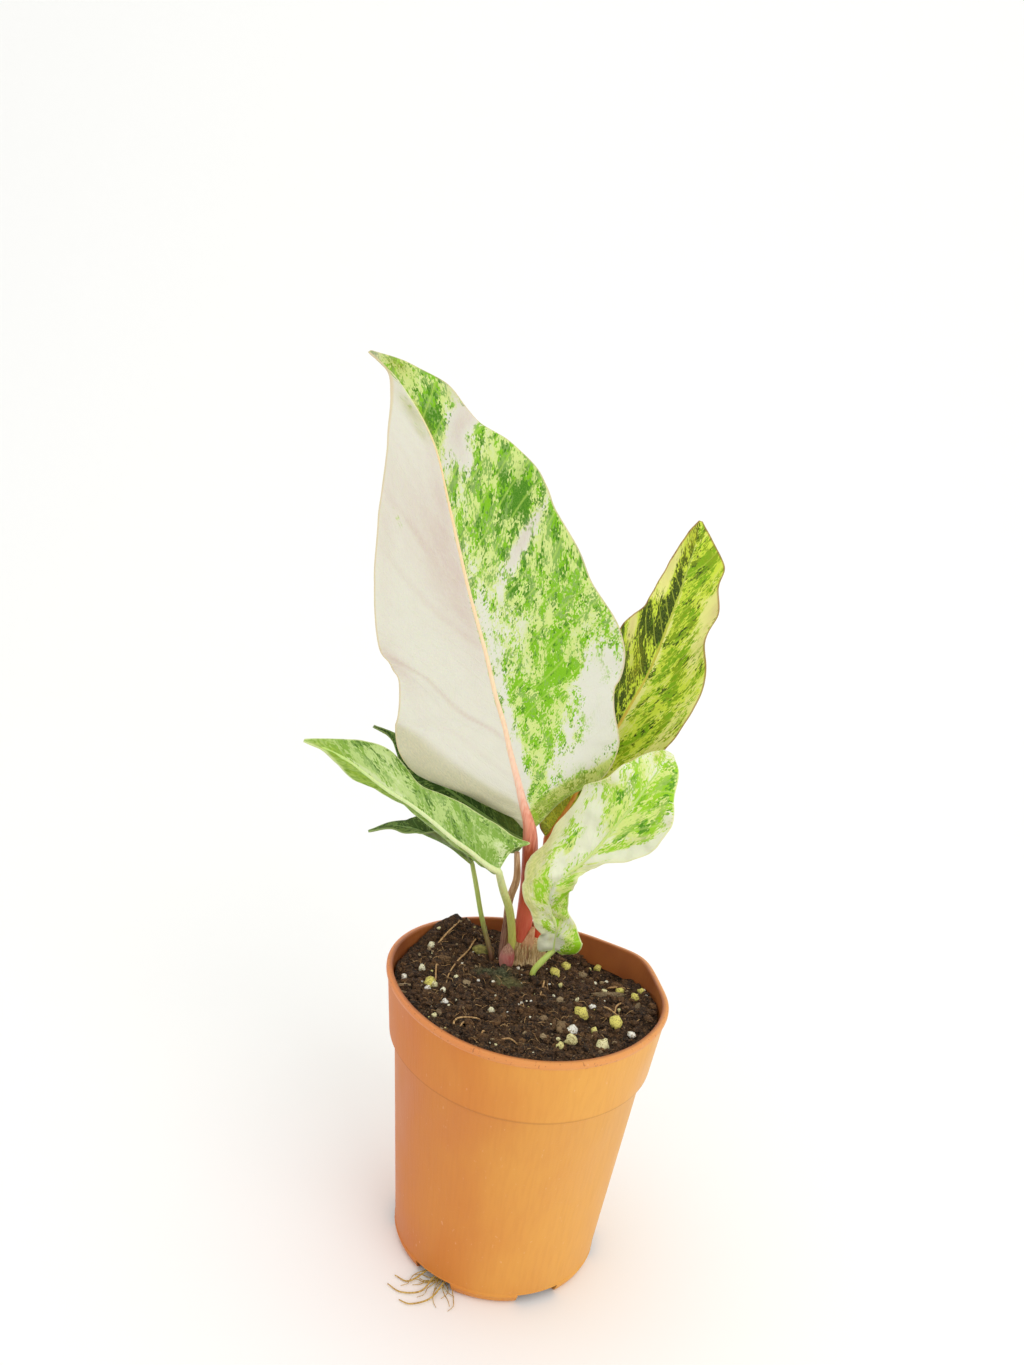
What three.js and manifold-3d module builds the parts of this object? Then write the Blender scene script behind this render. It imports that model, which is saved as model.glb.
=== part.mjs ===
// A young variegated Anthurium hookeri in a 12 cm plastic nursery pot, in millimetres.
// +Z is up and the origin is the middle of the pot's flat underside. The viewer stands at -Y.
import * as THREE from "three";
import { mergeVertices } from "three/addons/utils/BufferGeometryUtils.js";
import Module from "manifold-3d";

const wasm = await Module();
wasm.setup();

// Pot
const POT_HEIGHT = 120;
const RIM_RADIUS = 60;
const RIM_LIP = 2.8;
const COLLAR_HEIGHT = 28;
const COLLAR_FOOT_RADIUS = 56;
const BODY_TOP_RADIUS = 53.5;
const BODY_FOOT_RADIUS = 43.5;
const POT_WALL = 1.7;
const POT_FLOOR = 2;
const FOOT_CORNER = 3;
const POT_SIDES = 54;
const SLOTS = 6;
const SLOT_ANGLE = THREE.MathUtils.degToRad(-120);
const SLOT_WIDTH = 18;
const SLOT_HEIGHT = 4.6;
const SLOT_INNER_RADIUS = 35;

const SHOULDER = 108;
const COLLAR_FOOT = POT_HEIGHT - COLLAR_HEIGHT;

// The inside of the wall as radius and height, from the floor up to the rim.
const INSIDE = [
  [BODY_FOOT_RADIUS - POT_WALL - 0.4, POT_FLOOR],
  [BODY_FOOT_RADIUS - POT_WALL + 0.5, POT_FLOOR + 3],
  [BODY_TOP_RADIUS - POT_WALL, COLLAR_FOOT - 1],
  [COLLAR_FOOT_RADIUS - POT_WALL, COLLAR_FOOT + 1.5],
  [RIM_RADIUS - RIM_LIP - 1.1, SHOULDER],
  [RIM_RADIUS - RIM_LIP, POT_HEIGHT - 1],
];
// The outside as radius and height, from the middle of the underside up to the rim.
const OUTSIDE = [
  [0, 0],
  [BODY_FOOT_RADIUS - FOOT_CORNER, 0],
  [BODY_FOOT_RADIUS - FOOT_CORNER * 0.3, FOOT_CORNER * 0.3],
  [BODY_FOOT_RADIUS, FOOT_CORNER],
  [BODY_FOOT_RADIUS + 0.55, FOOT_CORNER + 1],
  [BODY_FOOT_RADIUS + 0.3, FOOT_CORNER + 2],
  [BODY_TOP_RADIUS, COLLAR_FOOT - 1],
  [COLLAR_FOOT_RADIUS - 0.4, COLLAR_FOOT],
  [COLLAR_FOOT_RADIUS, COLLAR_FOOT + 0.8],
  [RIM_RADIUS - 1, POT_HEIGHT - 4],
  [RIM_RADIUS - 0.8, POT_HEIGHT - 2.6],
  [RIM_RADIUS, POT_HEIGHT - 1.8],
  [RIM_RADIUS, POT_HEIGHT - 0.6],
  [RIM_RADIUS - 0.6, POT_HEIGHT],
  [RIM_RADIUS - RIM_LIP + 0.6, POT_HEIGHT],
];

// Soil
const SOIL_GAP = 0.3;
const SOIL_LEVEL = 115;
const SOIL_RINGS = 10;
const HOLE_FLOOR = 104;
// White and yellow grains that show on the soil: place and radius. A grain's middle lies above
// the soil by a share of its radius.
const GRAIN_RISE = 0.15;
const GRAIN_PLACES = [
  [16.4, 31, 2.1], [11.7, 20, 2.3], [31.4, 43, 1.7], [30, 26.5, 1.2], [35, 29, 1.2], [33.8, 14.7, 1.1],
  [40.8, 18.4, 1.7], [46.3, 8.4, 1.9], [49.5, 16, 1.5], [28.4, -6.9, 1.4], [23.3, -16.5, 2.6],
  [20, -28.6, 2.3], [20, -38.5, 2.4], [15.9, -41.5, 1.4], [29, -26.5, 1.3], [37.7, -19, 2.6],
  [43.7, -25.6, 1.5], [32.1, -37, 2.6], [-44.4, 25, 1.5], [-45.4, 4.2, 1.6], [-40, -7.2, 2.2],
  [-33.7, -13, 1.3], [-31.5, -22, 1.4], [-12.5, -22.6, 1.4], [-51.2, -6, 1.3],
];
// Bark chips: place, length, width, turn in degrees.
const CHIP_THICKNESS = 3;
const CHIP_PLACES = [
  [35, 7.4, 16, 2, 17], [15.7, -27, 8.5, 4.5, 85], [-37.6, 15.7, 8, 3, 10],
  [8.5, -23, 4, 2.5, 30], [-33, -10, 5, 3, 75], [3, -20, 6, 3, 160], [-8, 50, 6, 4, 40],
];
// Thin roots that lie on the soil, as the places they pass.
const ROOT_RADIUS = 0.45;
const ROOT_BURIED = 1;
const ROOT_PLACES = [
  [[-22.8, 43], [-25.9, 33], [-28, 25.5], [-31.4, 13.4], [-33.4, 1], [-32.9, -9]],
  [[-38.6, 12], [-39.4, 6.2], [-38.2, -2.4], [-37.3, -7]],
  [[-44, 22], [-39, 30], [-35, 38], [-35, 43]],
  [[-25.3, -38], [-25.8, -35.3], [-23.4, -32], [-17.2, -31.6], [-13.6, -31.2]],
  [[-13.1, -37.8], [-14.2, -41.5], [-14.7, -46.3]],
  [[7, 13], [7.3, 8], [6.7, 1], [6.2, -4.5], [4.3, -9]],
  [[31, -2], [34.2, -5.5], [37.3, -8.7], [38.7, -12], [39.6, -15]],
  [[46.5, 5], [43.5, 1], [41.5, -4], [42, -9], [43, -15]],
  [[35, 23.5], [36.6, 20.5], [40.3, 22], [45, 20.5], [49, 17.7]],
];
// Roots that grow out of the slot at the left front, as full places.
const DRAIN_ROOT_RADIUS = 0.7;
const DRAIN_ROOTS = [
  [[-17, -30, 3.2], [-21, -37, 2.4], [-25, -44, 1], [-33, -46, 0.8], [-39, -43, 0.8]],
  [[-20, -28, 3.4], [-25, -35, 2.2], [-31, -40, 0.9], [-37, -38, 0.8]],
  [[-14, -32, 3.2], [-17, -40, 2.2], [-21, -47, 0.9], [-28, -51, 0.8], [-33, -50, 0.8]],
];
// A knuckle of old stem that lies bare beside the lowest leaf's foot.
const KNUCKLE_PLACE = new THREE.Vector2(-22, 28);
const KNUCKLE_RADII = [4.5, 3, 3];

// Short stem that the leaves stand on, and the dry piece that stands up from its front.
const CROWN_PLACE = new THREE.Vector2(-3.5, 33);
const CROWN_RADIUS = 9.5;
const CROWN_TOP = 123;
const CROWN_SHAPE = [0.9, 1, 1, 0.98, 0.9, 0.78];
const STALK_FOOT = 115.5;
const SEAT_GAP = 0.3;
const LEANING_GAP = 0.7;
const CROWN_FLAP = {
  path: [[-2.5, 25, 114], [-2.2, 25.3, 120], [-1.4, 26.5, 126], [-0.4, 28, 131]],
  halfWidth: [4, 3.6, 2, 0.6],
};

// Bud in front of the crown
const BUD_PLACE = new THREE.Vector2(-10.2, 19.6);
const BUD_RADIUS = 3.4;
const BUD_TOP = 125;
const BUD_SHAPE = [0.55, 0.55, 0.55, 0.62, 0.84, 1, 0.95, 0.68, 0.3];

// Papery sheath behind the bud
const STRIP_THICKNESS = 0.8;
const STRIP_CURL = 0.5;
const STRIP_ROWS = 8;
const SHEATH = {
  path: [
    [-12.9, 26.5, HOLE_FLOOR + SEAT_GAP], [-12.9, 26.5, 114.5], [-12.9, 26.3, 125], [-13.2, 25.2, 135.7],
  ],
  halfWidth: [1.5, 1.5, 1.5, 0.6],
};

// The dried tan stalk of an old leaf, still standing.
const OLD_STALK = [
  [-11, 32.5, STALK_FOOT], [-12.6, 30, 128], [-12.6, 25, 143], [-10.6, 22, 155], [-12, 21.5, 167],
];
const OLD_STALK_RADIUS = [1.3, 1.5, 1.7, 1.6, 1.2];

// Leaves
const BLADE = 0.8;
const HALF_COLUMNS = 5;
const TIP_HALF_WIDTH = 0.7;
const STALK_SIDES = 9;
const STALK_STEPS = 8;

const COLOURS = {
  pot: 0xe39a58,
  soil: 0x2b211b,
  crown: 0xb89a6c,
  bud: 0xc07a72,
  sheath: 0x8a5a44,
  oldStalk: 0xc59a6a,
  paleLeaf: 0xcfdcae,
  brightLeaf: 0x9cc43c,
  darkLeaf: 0x4c7a34,
};

// Each leaf is measured at evenly spaced stations from the blade's base to its tip. spine is the
// midrib, face the way its upper side looks. For each half, width is the distance from midrib to
// margin, sweep how far the margin runs ahead towards the tip, fold how far the half rises out of
// the face's plane in degrees, and wave the margin's ruffle as height, count and phase.
const LEAF_A = {
  name: "leaf_a",
  colour: COLOURS.paleLeaf,
  rows: 30,
  spine: [
    [-8, 24, 177.5], [-9.5, 24, 182], [-12.5, 25, 188.5], [-16, 26, 197.5], [-21, 29, 209],
    [-25.5, 32, 220.5], [-30.5, 34, 231.5], [-36, 37, 245.5], [-42, 40, 259.5], [-48.5, 43, 274.5],
    [-55.5, 47, 292], [-63, 52, 311], [-71, 57, 331], [-81, 62, 346], [-95, 68.5, 361], [-109, 75, 371],
  ],
  face: [
    [0.1, -0.8, -0.25], [0.28, -0.93, 0.12], [0.28, -0.93, 0.14],
    [0.28, -0.93, 0.22], [0.22, -0.93, 0.28],
  ],
  left: {
    width: [3, 9, 21.5, 40, 48.5, 48, 43, 43.7, 46.7, 44, 37.7, 29.3, 20, 8.4, 1.2, 0.7],
    sweep: [0, 4.5, 8.5, 12.5, 11.8, 10.8, 11.5, 5.5, 1.5, 3, 5, 7.5, 11, 12, 4, 0],
    fold: [-20, -16, -6, 4, 12, 15, 16, 16, 16, 16, 15, 14, 12, 10, 6, 0],
    belly: [0, 1, 2, 2, 1, -1, -2, -2, -2, -2, -2, -1, 0, 0, 0, 0],
    wave: [0.8, 5, 0.2],
  },
  right: {
    width: [
      3, 7, 11.5, 17.5, 24.5, 31.5, 38, 43.5, 47, 48, 48, 50, 52.5, 56, 58.5, 59, 58.2, 55.4, 52.7, 51.2,
      47.2, 44.5, 43.7, 41.2, 32.4, 22.8, 19.3, 17.3, 11, 6, 0.7,
    ],
    sweep: [0, 0, -2.5, -7.5, -8.5, -6.5, -8, -11.5, -13, -10, -1, -5, -6, -7, -4, 0],
    fold: [-20, -18, -8, 2, 8, 11, 12, 13, 13, 13, 13, 12, 12, 10, 6, 0],
    belly: [0, 1, 2, 2, 1, -1, -2, -2, -2, -2, -2, -1, 0, 0, 0, 0],
    wave: [1, 5, 0.6],
  },
  rib: [3.2, 2.2, 1.5, 1.2, 0.9, 0.6],
  stalk: [[-5, 30.5, STALK_FOOT], [-5, 30, 130], [-5.2, 28, 150], [-6.8, 25, 170], [-8.5, 24, 180]],
  stalkRadius: [3.6, 3.7, 3.7, 3.6, 2.8],
};
const LEAF_B = {
  name: "leaf_b",
  colour: COLOURS.brightLeaf,
  rows: 26,
  spine: [
    [0.5, 48, 166], [3.5, 49.5, 173], [7.5, 51.5, 181], [12.5, 54, 193], [18.5, 56.5, 206],
    [24.5, 59, 219], [30, 61.5, 232.5], [34.5, 64, 243.5], [38, 66, 256], [41, 68, 269],
    [44, 70.5, 282], [46, 73, 293], [48, 75.5, 304.5], [49, 78, 315.5],
  ],
  face: [[0.1, -0.9, 0.2], [0.15, -0.9, 0.25], [0.2, -0.9, 0.25]],
  left: {
    width: [2, 9, 17, 21.5, 25, 27, 28.5, 29, 26.2, 18.6, 14.8, 11.8, 6.6, 0.7],
    sweep: [0, -4, -4.5, -2, 0.5, 4, 6.5, 9, 8, 4, 1.5, 3, 2.5, 0],
    fold: [20, 32, 38, 38, 38, 38, 38, 38, 36, 35, 33, 30, 26, 0],
    belly: [0, 0, -1, -1, -2, -2, -2, -2, -2, -1, -1, -1, 0, 0],
    wave: [0.8, 5, 0],
  },
  right: {
    width: [2, 10.5, 16.5, 21.5, 23.5, 26, 26.5, 24.4, 18.4, 20, 16, 15.8, 7.5, 0.7],
    sweep: [0, 2, 7.5, 9.5, 11, 11, 11, 13, 12, 11, 8, 6, 3.5, 0],
    fold: [14, 20, 25, 28, 28, 28, 28, 28, 26, 25, 24, 22, 18, 0],
    belly: [0, 0, -1, -1, -2, -2, -2, -2, -2, -1, -1, -1, 0, 0],
    wave: [1, 5, 0.5],
  },
  rib: [2.2, 1.6, 1.2, 1, 0.8, 0.5],
  stalk: [[2, 36, STALK_FOOT], [2.2, 38, 130], [1.2, 43, 150], [2, 49, 170]],
  stalkRadius: [2.8, 2.7, 2.5, 1.9],
};
const LEAF_C = {
  name: "leaf_c",
  colour: COLOURS.paleLeaf,
  rows: 32,
  spine: [
    [9.5, 17, 126.5], [9.5, 16, 130.5], [9.5, 15, 135], [9, 13.5, 139.5], [6.5, 12, 145.5],
    [4.5, 10.5, 151.5], [4.5, 9.5, 157], [8, 8.5, 163], [12.5, 7.5, 168.5], [18, 7, 175],
    [23, 6.5, 183], [28, 6, 192], [33, 6, 200.5], [37, 7.5, 208], [41, 10, 215], [43.5, 13, 220],
    [45, 15, 222.5],
  ],
  face: [
    [-0.1, -0.9, 0.4], [0, -0.9, 0.4], [-0.1, -0.85, 0.45],
    [-0.15, -0.85, 0.5], [-0.1, -0.8, 0.5],
  ],
  left: {
    width: [1.5, 6, 7.5, 7, 8.5, 9.5, 9, 12, 15.5, 18, 21.5, 21, 22, 15.5, 13, 8, 2.5],
    sweep: [0, -6, -6, -2, -2, -3, -6.5, -13, -15, -15, -11.5, -7.5, -6.5, -6, -4.5, -1.5, 0],
    fold: [-10, -14, -10, 0, 8, 10, 6, -2, -10, -14, -16, -12, -6, 2, 2, -6, -20],
    belly: [0, 1, 1, 0, 0, 1, 1.5, 2, 2, 2, 1, 1, 0, 0, 0, 0, 0],
    wave: [0.5, 5, 0.1],
  },
  right: {
    width: [1.5, 8, 14, 6, 7, 8.5, 8, 5, 4, 7.5, 13.5, 18, 19, 17.2, 11, 7, 2],
    sweep: [0, 3.5, 4, -1.5, -1.5, 0, 5.5, 6, 4.5, 4, 1.5, 0, -1.5, -3, -4, -1.5, 0],
    fold: [0, 16, 24, 14, 10, 8, 2, 0, 2, 4, 7, 9, 11, 12, 8, -4, -20],
    belly: [0, 1, 1, 0, 0, 0, 0, 0, -1, -1, -2, -2, -2, -1, 0, 0, 0],
    wave: [0.5, 5, 0.4],
  },
  rib: [1.5, 1.2, 1, 0.9, 0.8, 0.6],
  stalk: [
    [2, 16.5, HOLE_FLOOR + SEAT_GAP], [2, 16.5, 110], [2.1, 16.5, 115.5], [5, 16.7, 120.5], [9.5, 17, 128],
  ],
  stalkRadius: [1.2, 1.2, 1.3, 1.4, 1.2],
};
const LEAF_D = {
  name: "leaf_d",
  colour: COLOURS.brightLeaf,
  rows: 22,
  spine: [
    [-18, 7, 163], [-21.5, 6.5, 164.5], [-25.5, 6, 167], [-31, 5, 171], [-37.5, 4, 175],
    [-44, 3.5, 179.5], [-51, 2.5, 184.5], [-58.5, 2, 189], [-66.5, 1, 193], [-75, -0.5, 198.5],
    [-83.5, -2, 204], [-92.5, -3, 208], [-102.5, -5, 211],
  ],
  face: [[0.15, -0.75, 0.62], [0.15, -0.72, 0.65], [0.15, -0.7, 0.68]],
  left: {
    width: [1.5, 5, 7, 8, 8.5, 8.5, 7.5, 5, 3.5, 5.7, 3.6, 1.2, 0.7],
    sweep: [0, -2, -2, 0, 1, 2, 3, 4, 5, 5, 5, 3, 0],
    fold: [-60, -90, -98, -100, -100, -98, -95, -88, -70, -50, -40, -30, 0],
    belly: [0, 0, 1, 1, 1, 1, 1, 0, 0, 0, 0, 0, 0],
    wave: [0.3, 3, 0.3],
  },
  right: {
    width: [1.5, 13, 19, 16.5, 16, 14.5, 12, 9.7, 13.8, 14.5, 11, 6.2, 0.7],
    sweep: [0, -6, -13, -10.5, -7, -2.5, -1, -0.5, 1, 1.5, 1, -1, 0],
    fold: [0, 5, 8, 7, 5, 3, 1, 0, 0, -1, -3, -4, 0],
    belly: [0, 0, 1, 1, 1, 1, 1, 1, 1, 1, 0, 0, 0],
    wave: [0.3, 3, 0],
  },
  rib: [1.8, 1.2, 1, 0.9, 0.7, 0.5],
  stalk: [
    [-8.9, 25.8, STALK_FOOT], [-9.1, 24.8, 125], [-11.6, 20, 140], [-15.5, 13.2, 152.6], [-19.3, 7, 163.8],
  ],
  stalkRadius: [1.7, 1.8, 1.8, 1.7, 1.5],
};
const LEAF_E = {
  name: "leaf_e",
  colour: COLOURS.darkLeaf,
  rows: 16,
  spine: [
    [-31, 27, 157], [-35.5, 26.5, 160], [-40.5, 25.5, 163.5], [-46, 25, 166], [-51.5, 24, 168],
    [-57, 23, 170], [-62, 21, 171], [-68, 19, 171.5], [-76.5, 16, 168.5],
  ],
  face: [[-0.1, -0.35, 0.9], [-0.1, -0.35, 0.9], [-0.1, -0.35, 0.9]],
  left: {
    width: [1, 7, 9, 9, 7.5, 4, 3.5, 2, 0.6],
    sweep: [0, 1, 1, 0, 0, 0, 0, 0, 0],
    fold: [20, 60, 64, 62, 56, 20, -14, -10, 0],
    belly: [0, 0, -1, -1, 0, 0, 0, 0, 0],
    wave: [0.2, 3, 0],
  },
  right: {
    width: [1, 8.5, 10, 10.5, 10, 8.5, 6, 2.5, 0.6],
    sweep: [0, -2.5, -2.5, -3.5, -3.5, -4.5, -4, -3, 0],
    fold: [20, 30, 32, 30, 26, 20, 12, 4, 0],
    belly: [0, 0, -1, -1, -1, 0, 0, 0, 0],
    wave: [0.2, 3, 0],
  },
  rib: [1.2, 1, 0.8, 0.7, 0.5],
  stalk: [
    [-17.2, 24.3, HOLE_FLOOR + SEAT_GAP], [-17.2, 24.3, 110.5], [-17.3, 24.3, 115.8], [-19.7, 25.5, 121.6],
    [-24.2, 27.3, 133], [-28.1, 28.2, 146], [-31.5, 27, 157.5],
  ],
  stalkRadius: [1.2, 1.2, 1.15, 1.1, 1.1],
};
const LEAF_F = {
  name: "leaf_f",
  colour: COLOURS.darkLeaf,
  rows: 14,
  spine: [
    [-9, 38, 166], [-17.5, 39, 169], [-29.5, 40, 175], [-42, 42, 181], [-55, 44, 187.5],
    [-67.5, 46, 195], [-76, 47, 203], [-85, 48, 206.5],
  ],
  face: [[0, -0.8, 0.6], [0, -0.8, 0.6], [0, -0.7, 0.7]],
  left: {
    width: [1.2, 8, 9.5, 9.5, 9, 6, 1.2, 0.6],
    sweep: [0, -6, -6, -6, -6, -5, -2, 0],
    fold: [0, 12, 16, 16, 16, 10, 0, 0],
    belly: [0, 0, -1, -1, -1, 0, 0, 0],
    wave: [0.3, 3, 0],
  },
  right: {
    width: [1.2, 13, 13, 11.5, 10, 7, 2.5, 0.6],
    sweep: [0, 3, 5, 6, 6, 3.5, 0.5, 0],
    fold: [0, 12, 16, 16, 16, 10, 0, 0],
    belly: [0, 0, -1, -1, -1, 0, 0, 0],
    wave: [0.3, 3, 0.4],
  },
  rib: [1.4, 1.1, 0.9, 0.8, 0.5],
  stalk: [[-7, 38, STALK_FOOT], [-7.2, 38, 130], [-7.6, 38, 150], [-9.5, 38, 167]],
  stalkRadius: [1.5, 1.5, 1.4, 1.3],
};
const LEAVES = [LEAF_A, LEAF_B, LEAF_C, LEAF_D, LEAF_E, LEAF_F];

// A smooth line through evenly spaced values, read at t from 0 to 1.
function smooth(values, t) {
  const last = values.length - 1;
  const x = THREE.MathUtils.clamp(t, 0, 1) * last;
  const i = Math.min(Math.floor(x), last - 1);
  const f = x - i;
  const b = values[i];
  const c = values[i + 1];
  const a = i > 0 ? values[i - 1] : 2 * b - c;
  const d = i < last - 1 ? values[i + 2] : 2 * c - b;
  return b + 0.5 * f * (c - a + f * (2 * a - 5 * b + 4 * c - d + f * (3 * (b - c) + d - a)));
}

// The same for points.
function smoothPoint(points, t) {
  const axis = (k) => smooth(points.map((p) => p[k]), t);
  return new THREE.Vector3(axis(0), axis(1), axis(2));
}

function indexed(points, index) {
  const geometry = new THREE.BufferGeometry().setFromPoints(points);
  geometry.setIndex(index);
  return geometry;
}

// A closed skin over rings of points that turn anticlockwise seen from the last ring.
function ringsGeometry(rings, foot, tip) {
  const sides = rings[0].length;
  const points = [...rings.flat(), foot, tip];
  const footAt = points.length - 2;
  const tipAt = points.length - 1;
  const last = (rings.length - 1) * sides;
  const index = [];
  for (let k = 0; k < sides; k += 1) {
    const next = (k + 1) % sides;
    for (let start = 0; start < last; start += sides) {
      const a = start + k;
      const b = start + next;
      index.push(a, b, b + sides, a, b + sides, a + sides);
    }
    index.push(footAt, next, k, tipAt, last + k, last + next);
  }
  return indexed(points, index);
}

// A closed round stalk or root through the given places, its radius read from a list.
function stalkGeometry(path, radii, sides = STALK_SIDES, steps = STALK_STEPS) {
  const curve = new THREE.CatmullRomCurve3(path.map((p) => new THREE.Vector3(...p)), false, "centripetal");
  const { normals, binormals } = curve.computeFrenetFrames(steps, false);
  const rings = normals.map((normal, i) => {
    const radius = smooth(radii, i / steps);
    return Array.from({ length: sides }, (_, k) => {
      const angle = (2 * Math.PI * k) / sides;
      return curve
        .getPointAt(i / steps)
        .addScaledVector(normal, radius * Math.cos(angle))
        .addScaledVector(binormals[i], radius * Math.sin(angle));
    });
  });
  return ringsGeometry(rings, curve.getPointAt(0), curve.getPointAt(1));
}

// A thin upright strip, curled a little to the front, made bigger all round by grow.
function stripGeometry({ path, halfWidth }, grow = 0) {
  const places = [-1, -0.33, 0.33, 1];
  const rings = [];
  for (let i = 0; i <= STRIP_ROWS; i += 1) {
    const t = i / STRIP_ROWS;
    const middle = smoothPoint(path, t);
    const reach = smooth(halfWidth, t) + grow;
    const half = STRIP_THICKNESS / 2 + grow;
    const side = (way) => (k) =>
      new THREE.Vector3(k * reach, STRIP_CURL * (k * k - 0.5) + way * half, 0).add(middle);
    rings.push([...places.map(side(-1)), ...places.toReversed().map(side(1))]);
  }
  return ringsGeometry(rings, smoothPoint(path, 0), smoothPoint(path, 1));
}

// A turned lump with an uneven side, standing at a place from its foot to its top.
function lumpGeometry(place, radius, foot, top, sides, shape, ripple) {
  const rings = shape.map((share, i) => {
    const z = THREE.MathUtils.lerp(foot, top, i / (shape.length - 1));
    return Array.from({ length: sides }, (_, k) => {
      const angle = (2 * Math.PI * k) / sides;
      const reach = radius * share * (1 - ripple + ripple * Math.sin(angle * 5 + i * 1.7));
      return new THREE.Vector3(place.x + reach * Math.cos(angle), place.y + reach * Math.sin(angle), z);
    });
  });
  const middle = (z) => new THREE.Vector3(place.x, place.y, z);
  return ringsGeometry(rings, middle(foot), middle(top + radius * 0.1));
}

// The midrib's place, its direction, the upper side's normal and the way to the right half.
function leafFrame(leaf, u) {
  const step = 1e-3;
  const ahead = smoothPoint(leaf.spine, Math.min(u + step, 1));
  const behind = smoothPoint(leaf.spine, Math.max(u - step, 0));
  const along = ahead.sub(behind).normalize();
  const up = smoothPoint(leaf.face, u);
  up.addScaledVector(along, -up.dot(along)).normalize();
  const across = new THREE.Vector3().crossVectors(along, up);
  return { place: smoothPoint(leaf.spine, u), along, up, across };
}

// A point on the middle surface of one half, s running from 0 at the midrib to 1 at the margin.
function bladePoint(leaf, sign, u, s) {
  const half = sign > 0 ? leaf.right : leaf.left;
  const { place, along, up, across } = leafFrame(leaf, u);
  const width = Math.max(smooth(half.width, u), TIP_HALF_WIDTH);
  const fold = THREE.MathUtils.degToRad(smooth(half.fold, u));
  const [height, count, phase] = half.wave;
  const ends = Math.sin(Math.PI * u) ** 0.6;
  const wave = height * s * s * ends * Math.sin(2 * Math.PI * (count * u + phase));
  const rise = smooth(half.belly, u) * 4 * s * (1 - s) + wave;
  return place
    .addScaledVector(across, sign * (width * s * Math.cos(fold) - rise * Math.sin(fold)))
    .addScaledVector(up, width * s * Math.sin(fold) + rise * Math.cos(fold))
    .addScaledVector(along, smooth(half.sweep, u) * s * s);
}

// Signed columns from the left margin to the right one: the rib's width first, then the half.
function bladeColumns(leaf, u) {
  const rib = smooth(leaf.rib, u);
  const side = (sign) => {
    const half = sign > 0 ? leaf.right : leaf.left;
    const width = Math.max(smooth(half.width, u), TIP_HALF_WIDTH);
    const edge = Math.min(rib / width, 0.45);
    const columns = [{ s: edge * 0.6, lift: 0.8 }];
    for (let k = 0; k < HALF_COLUMNS; k += 1) {
      columns.push({ s: edge + ((1 - edge) * k) / (HALF_COLUMNS - 1), lift: 0 });
    }
    return columns.map((column) => ({ ...column, sign }));
  };
  return { rib, columns: [...side(-1).reverse(), { s: 0, lift: 1, sign: 1 }, ...side(1)] };
}

// A closed blade: upper and lower faces share their split into triangles, so they never cross.
function bladeGeometry(leaf) {
  const { rows } = leaf;
  const middle = [];
  const lifts = [];
  for (let i = 0; i <= rows; i += 1) {
    const u = i / rows;
    const { rib, columns } = bladeColumns(leaf, u);
    middle.push(columns.map(({ s, sign }) => bladePoint(leaf, sign, u, s)));
    lifts.push(columns.map(({ lift }) => lift * rib));
  }
  const across = middle[0].length;
  const normalAt = (i, j) => {
    const along = middle[Math.min(i + 1, rows)][j].clone().sub(middle[Math.max(i - 1, 0)][j]);
    const sideways = middle[i][Math.min(j + 1, across - 1)].clone().sub(middle[i][Math.max(j - 1, 0)]);
    return new THREE.Vector3().crossVectors(sideways, along).normalize();
  };
  const top = [];
  const bottom = [];
  middle.forEach((row, i) => {
    row.forEach((point, j) => {
      const normal = normalAt(i, j);
      const lift = lifts[i][j];
      top.push(point.clone().addScaledVector(normal, BLADE / 2 + lift * 0.35));
      bottom.push(point.clone().addScaledVector(normal, -BLADE / 2 - lift * 0.95));
    });
  });
  const under = top.length;
  const index = [];
  for (let i = 0; i < rows; i += 1) {
    for (let j = 0; j < across - 1; j += 1) {
      const a = i * across + j;
      const b = a + 1;
      const c = a + across + 1;
      const d = a + across;
      index.push(a, b, c, a, c, d);
      index.push(under + a, under + c, under + b, under + a, under + d, under + c);
    }
  }
  const rim = [];
  for (let j = 0; j < across - 1; j += 1) rim.push(j);
  for (let i = 0; i < rows; i += 1) rim.push(i * across + across - 1);
  for (let j = across - 1; j > 0; j -= 1) rim.push(rows * across + j);
  for (let i = rows; i > 0; i -= 1) rim.push(i * across);
  rim.forEach((a, k) => {
    const b = rim[(k + 1) % rim.length];
    index.push(a, under + a, under + b, a, under + b, b);
  });
  return indexed([...top, ...bottom], index);
}

// Turns a closed geometry into a solid that can be joined and cut, and back.
function solid(geometry) {
  const bare = geometry.clone();
  bare.deleteAttribute("normal");
  bare.deleteAttribute("uv");
  const merged = mergeVertices(bare, 1e-4);
  return new wasm.Manifold(
    new wasm.Mesh({
      numProp: 3,
      vertProperties: new Float32Array(merged.attributes.position.array),
      triVerts: new Uint32Array(merged.index.array),
    }),
  );
}

function geometryOf(body) {
  const mesh = body.getMesh();
  const geometry = new THREE.BufferGeometry();
  geometry.setAttribute("position", new THREE.BufferAttribute(mesh.vertProperties, 3));
  geometry.setIndex(new THREE.BufferAttribute(mesh.triVerts, 1));
  return geometry;
}

function part(name, geometry, colour, roughness) {
  geometry.computeVertexNormals();
  const material = new THREE.MeshStandardMaterial({ color: colour, roughness, metalness: 0 });
  const mesh = new THREE.Mesh(geometry, material);
  mesh.name = name;
  return mesh;
}

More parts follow.
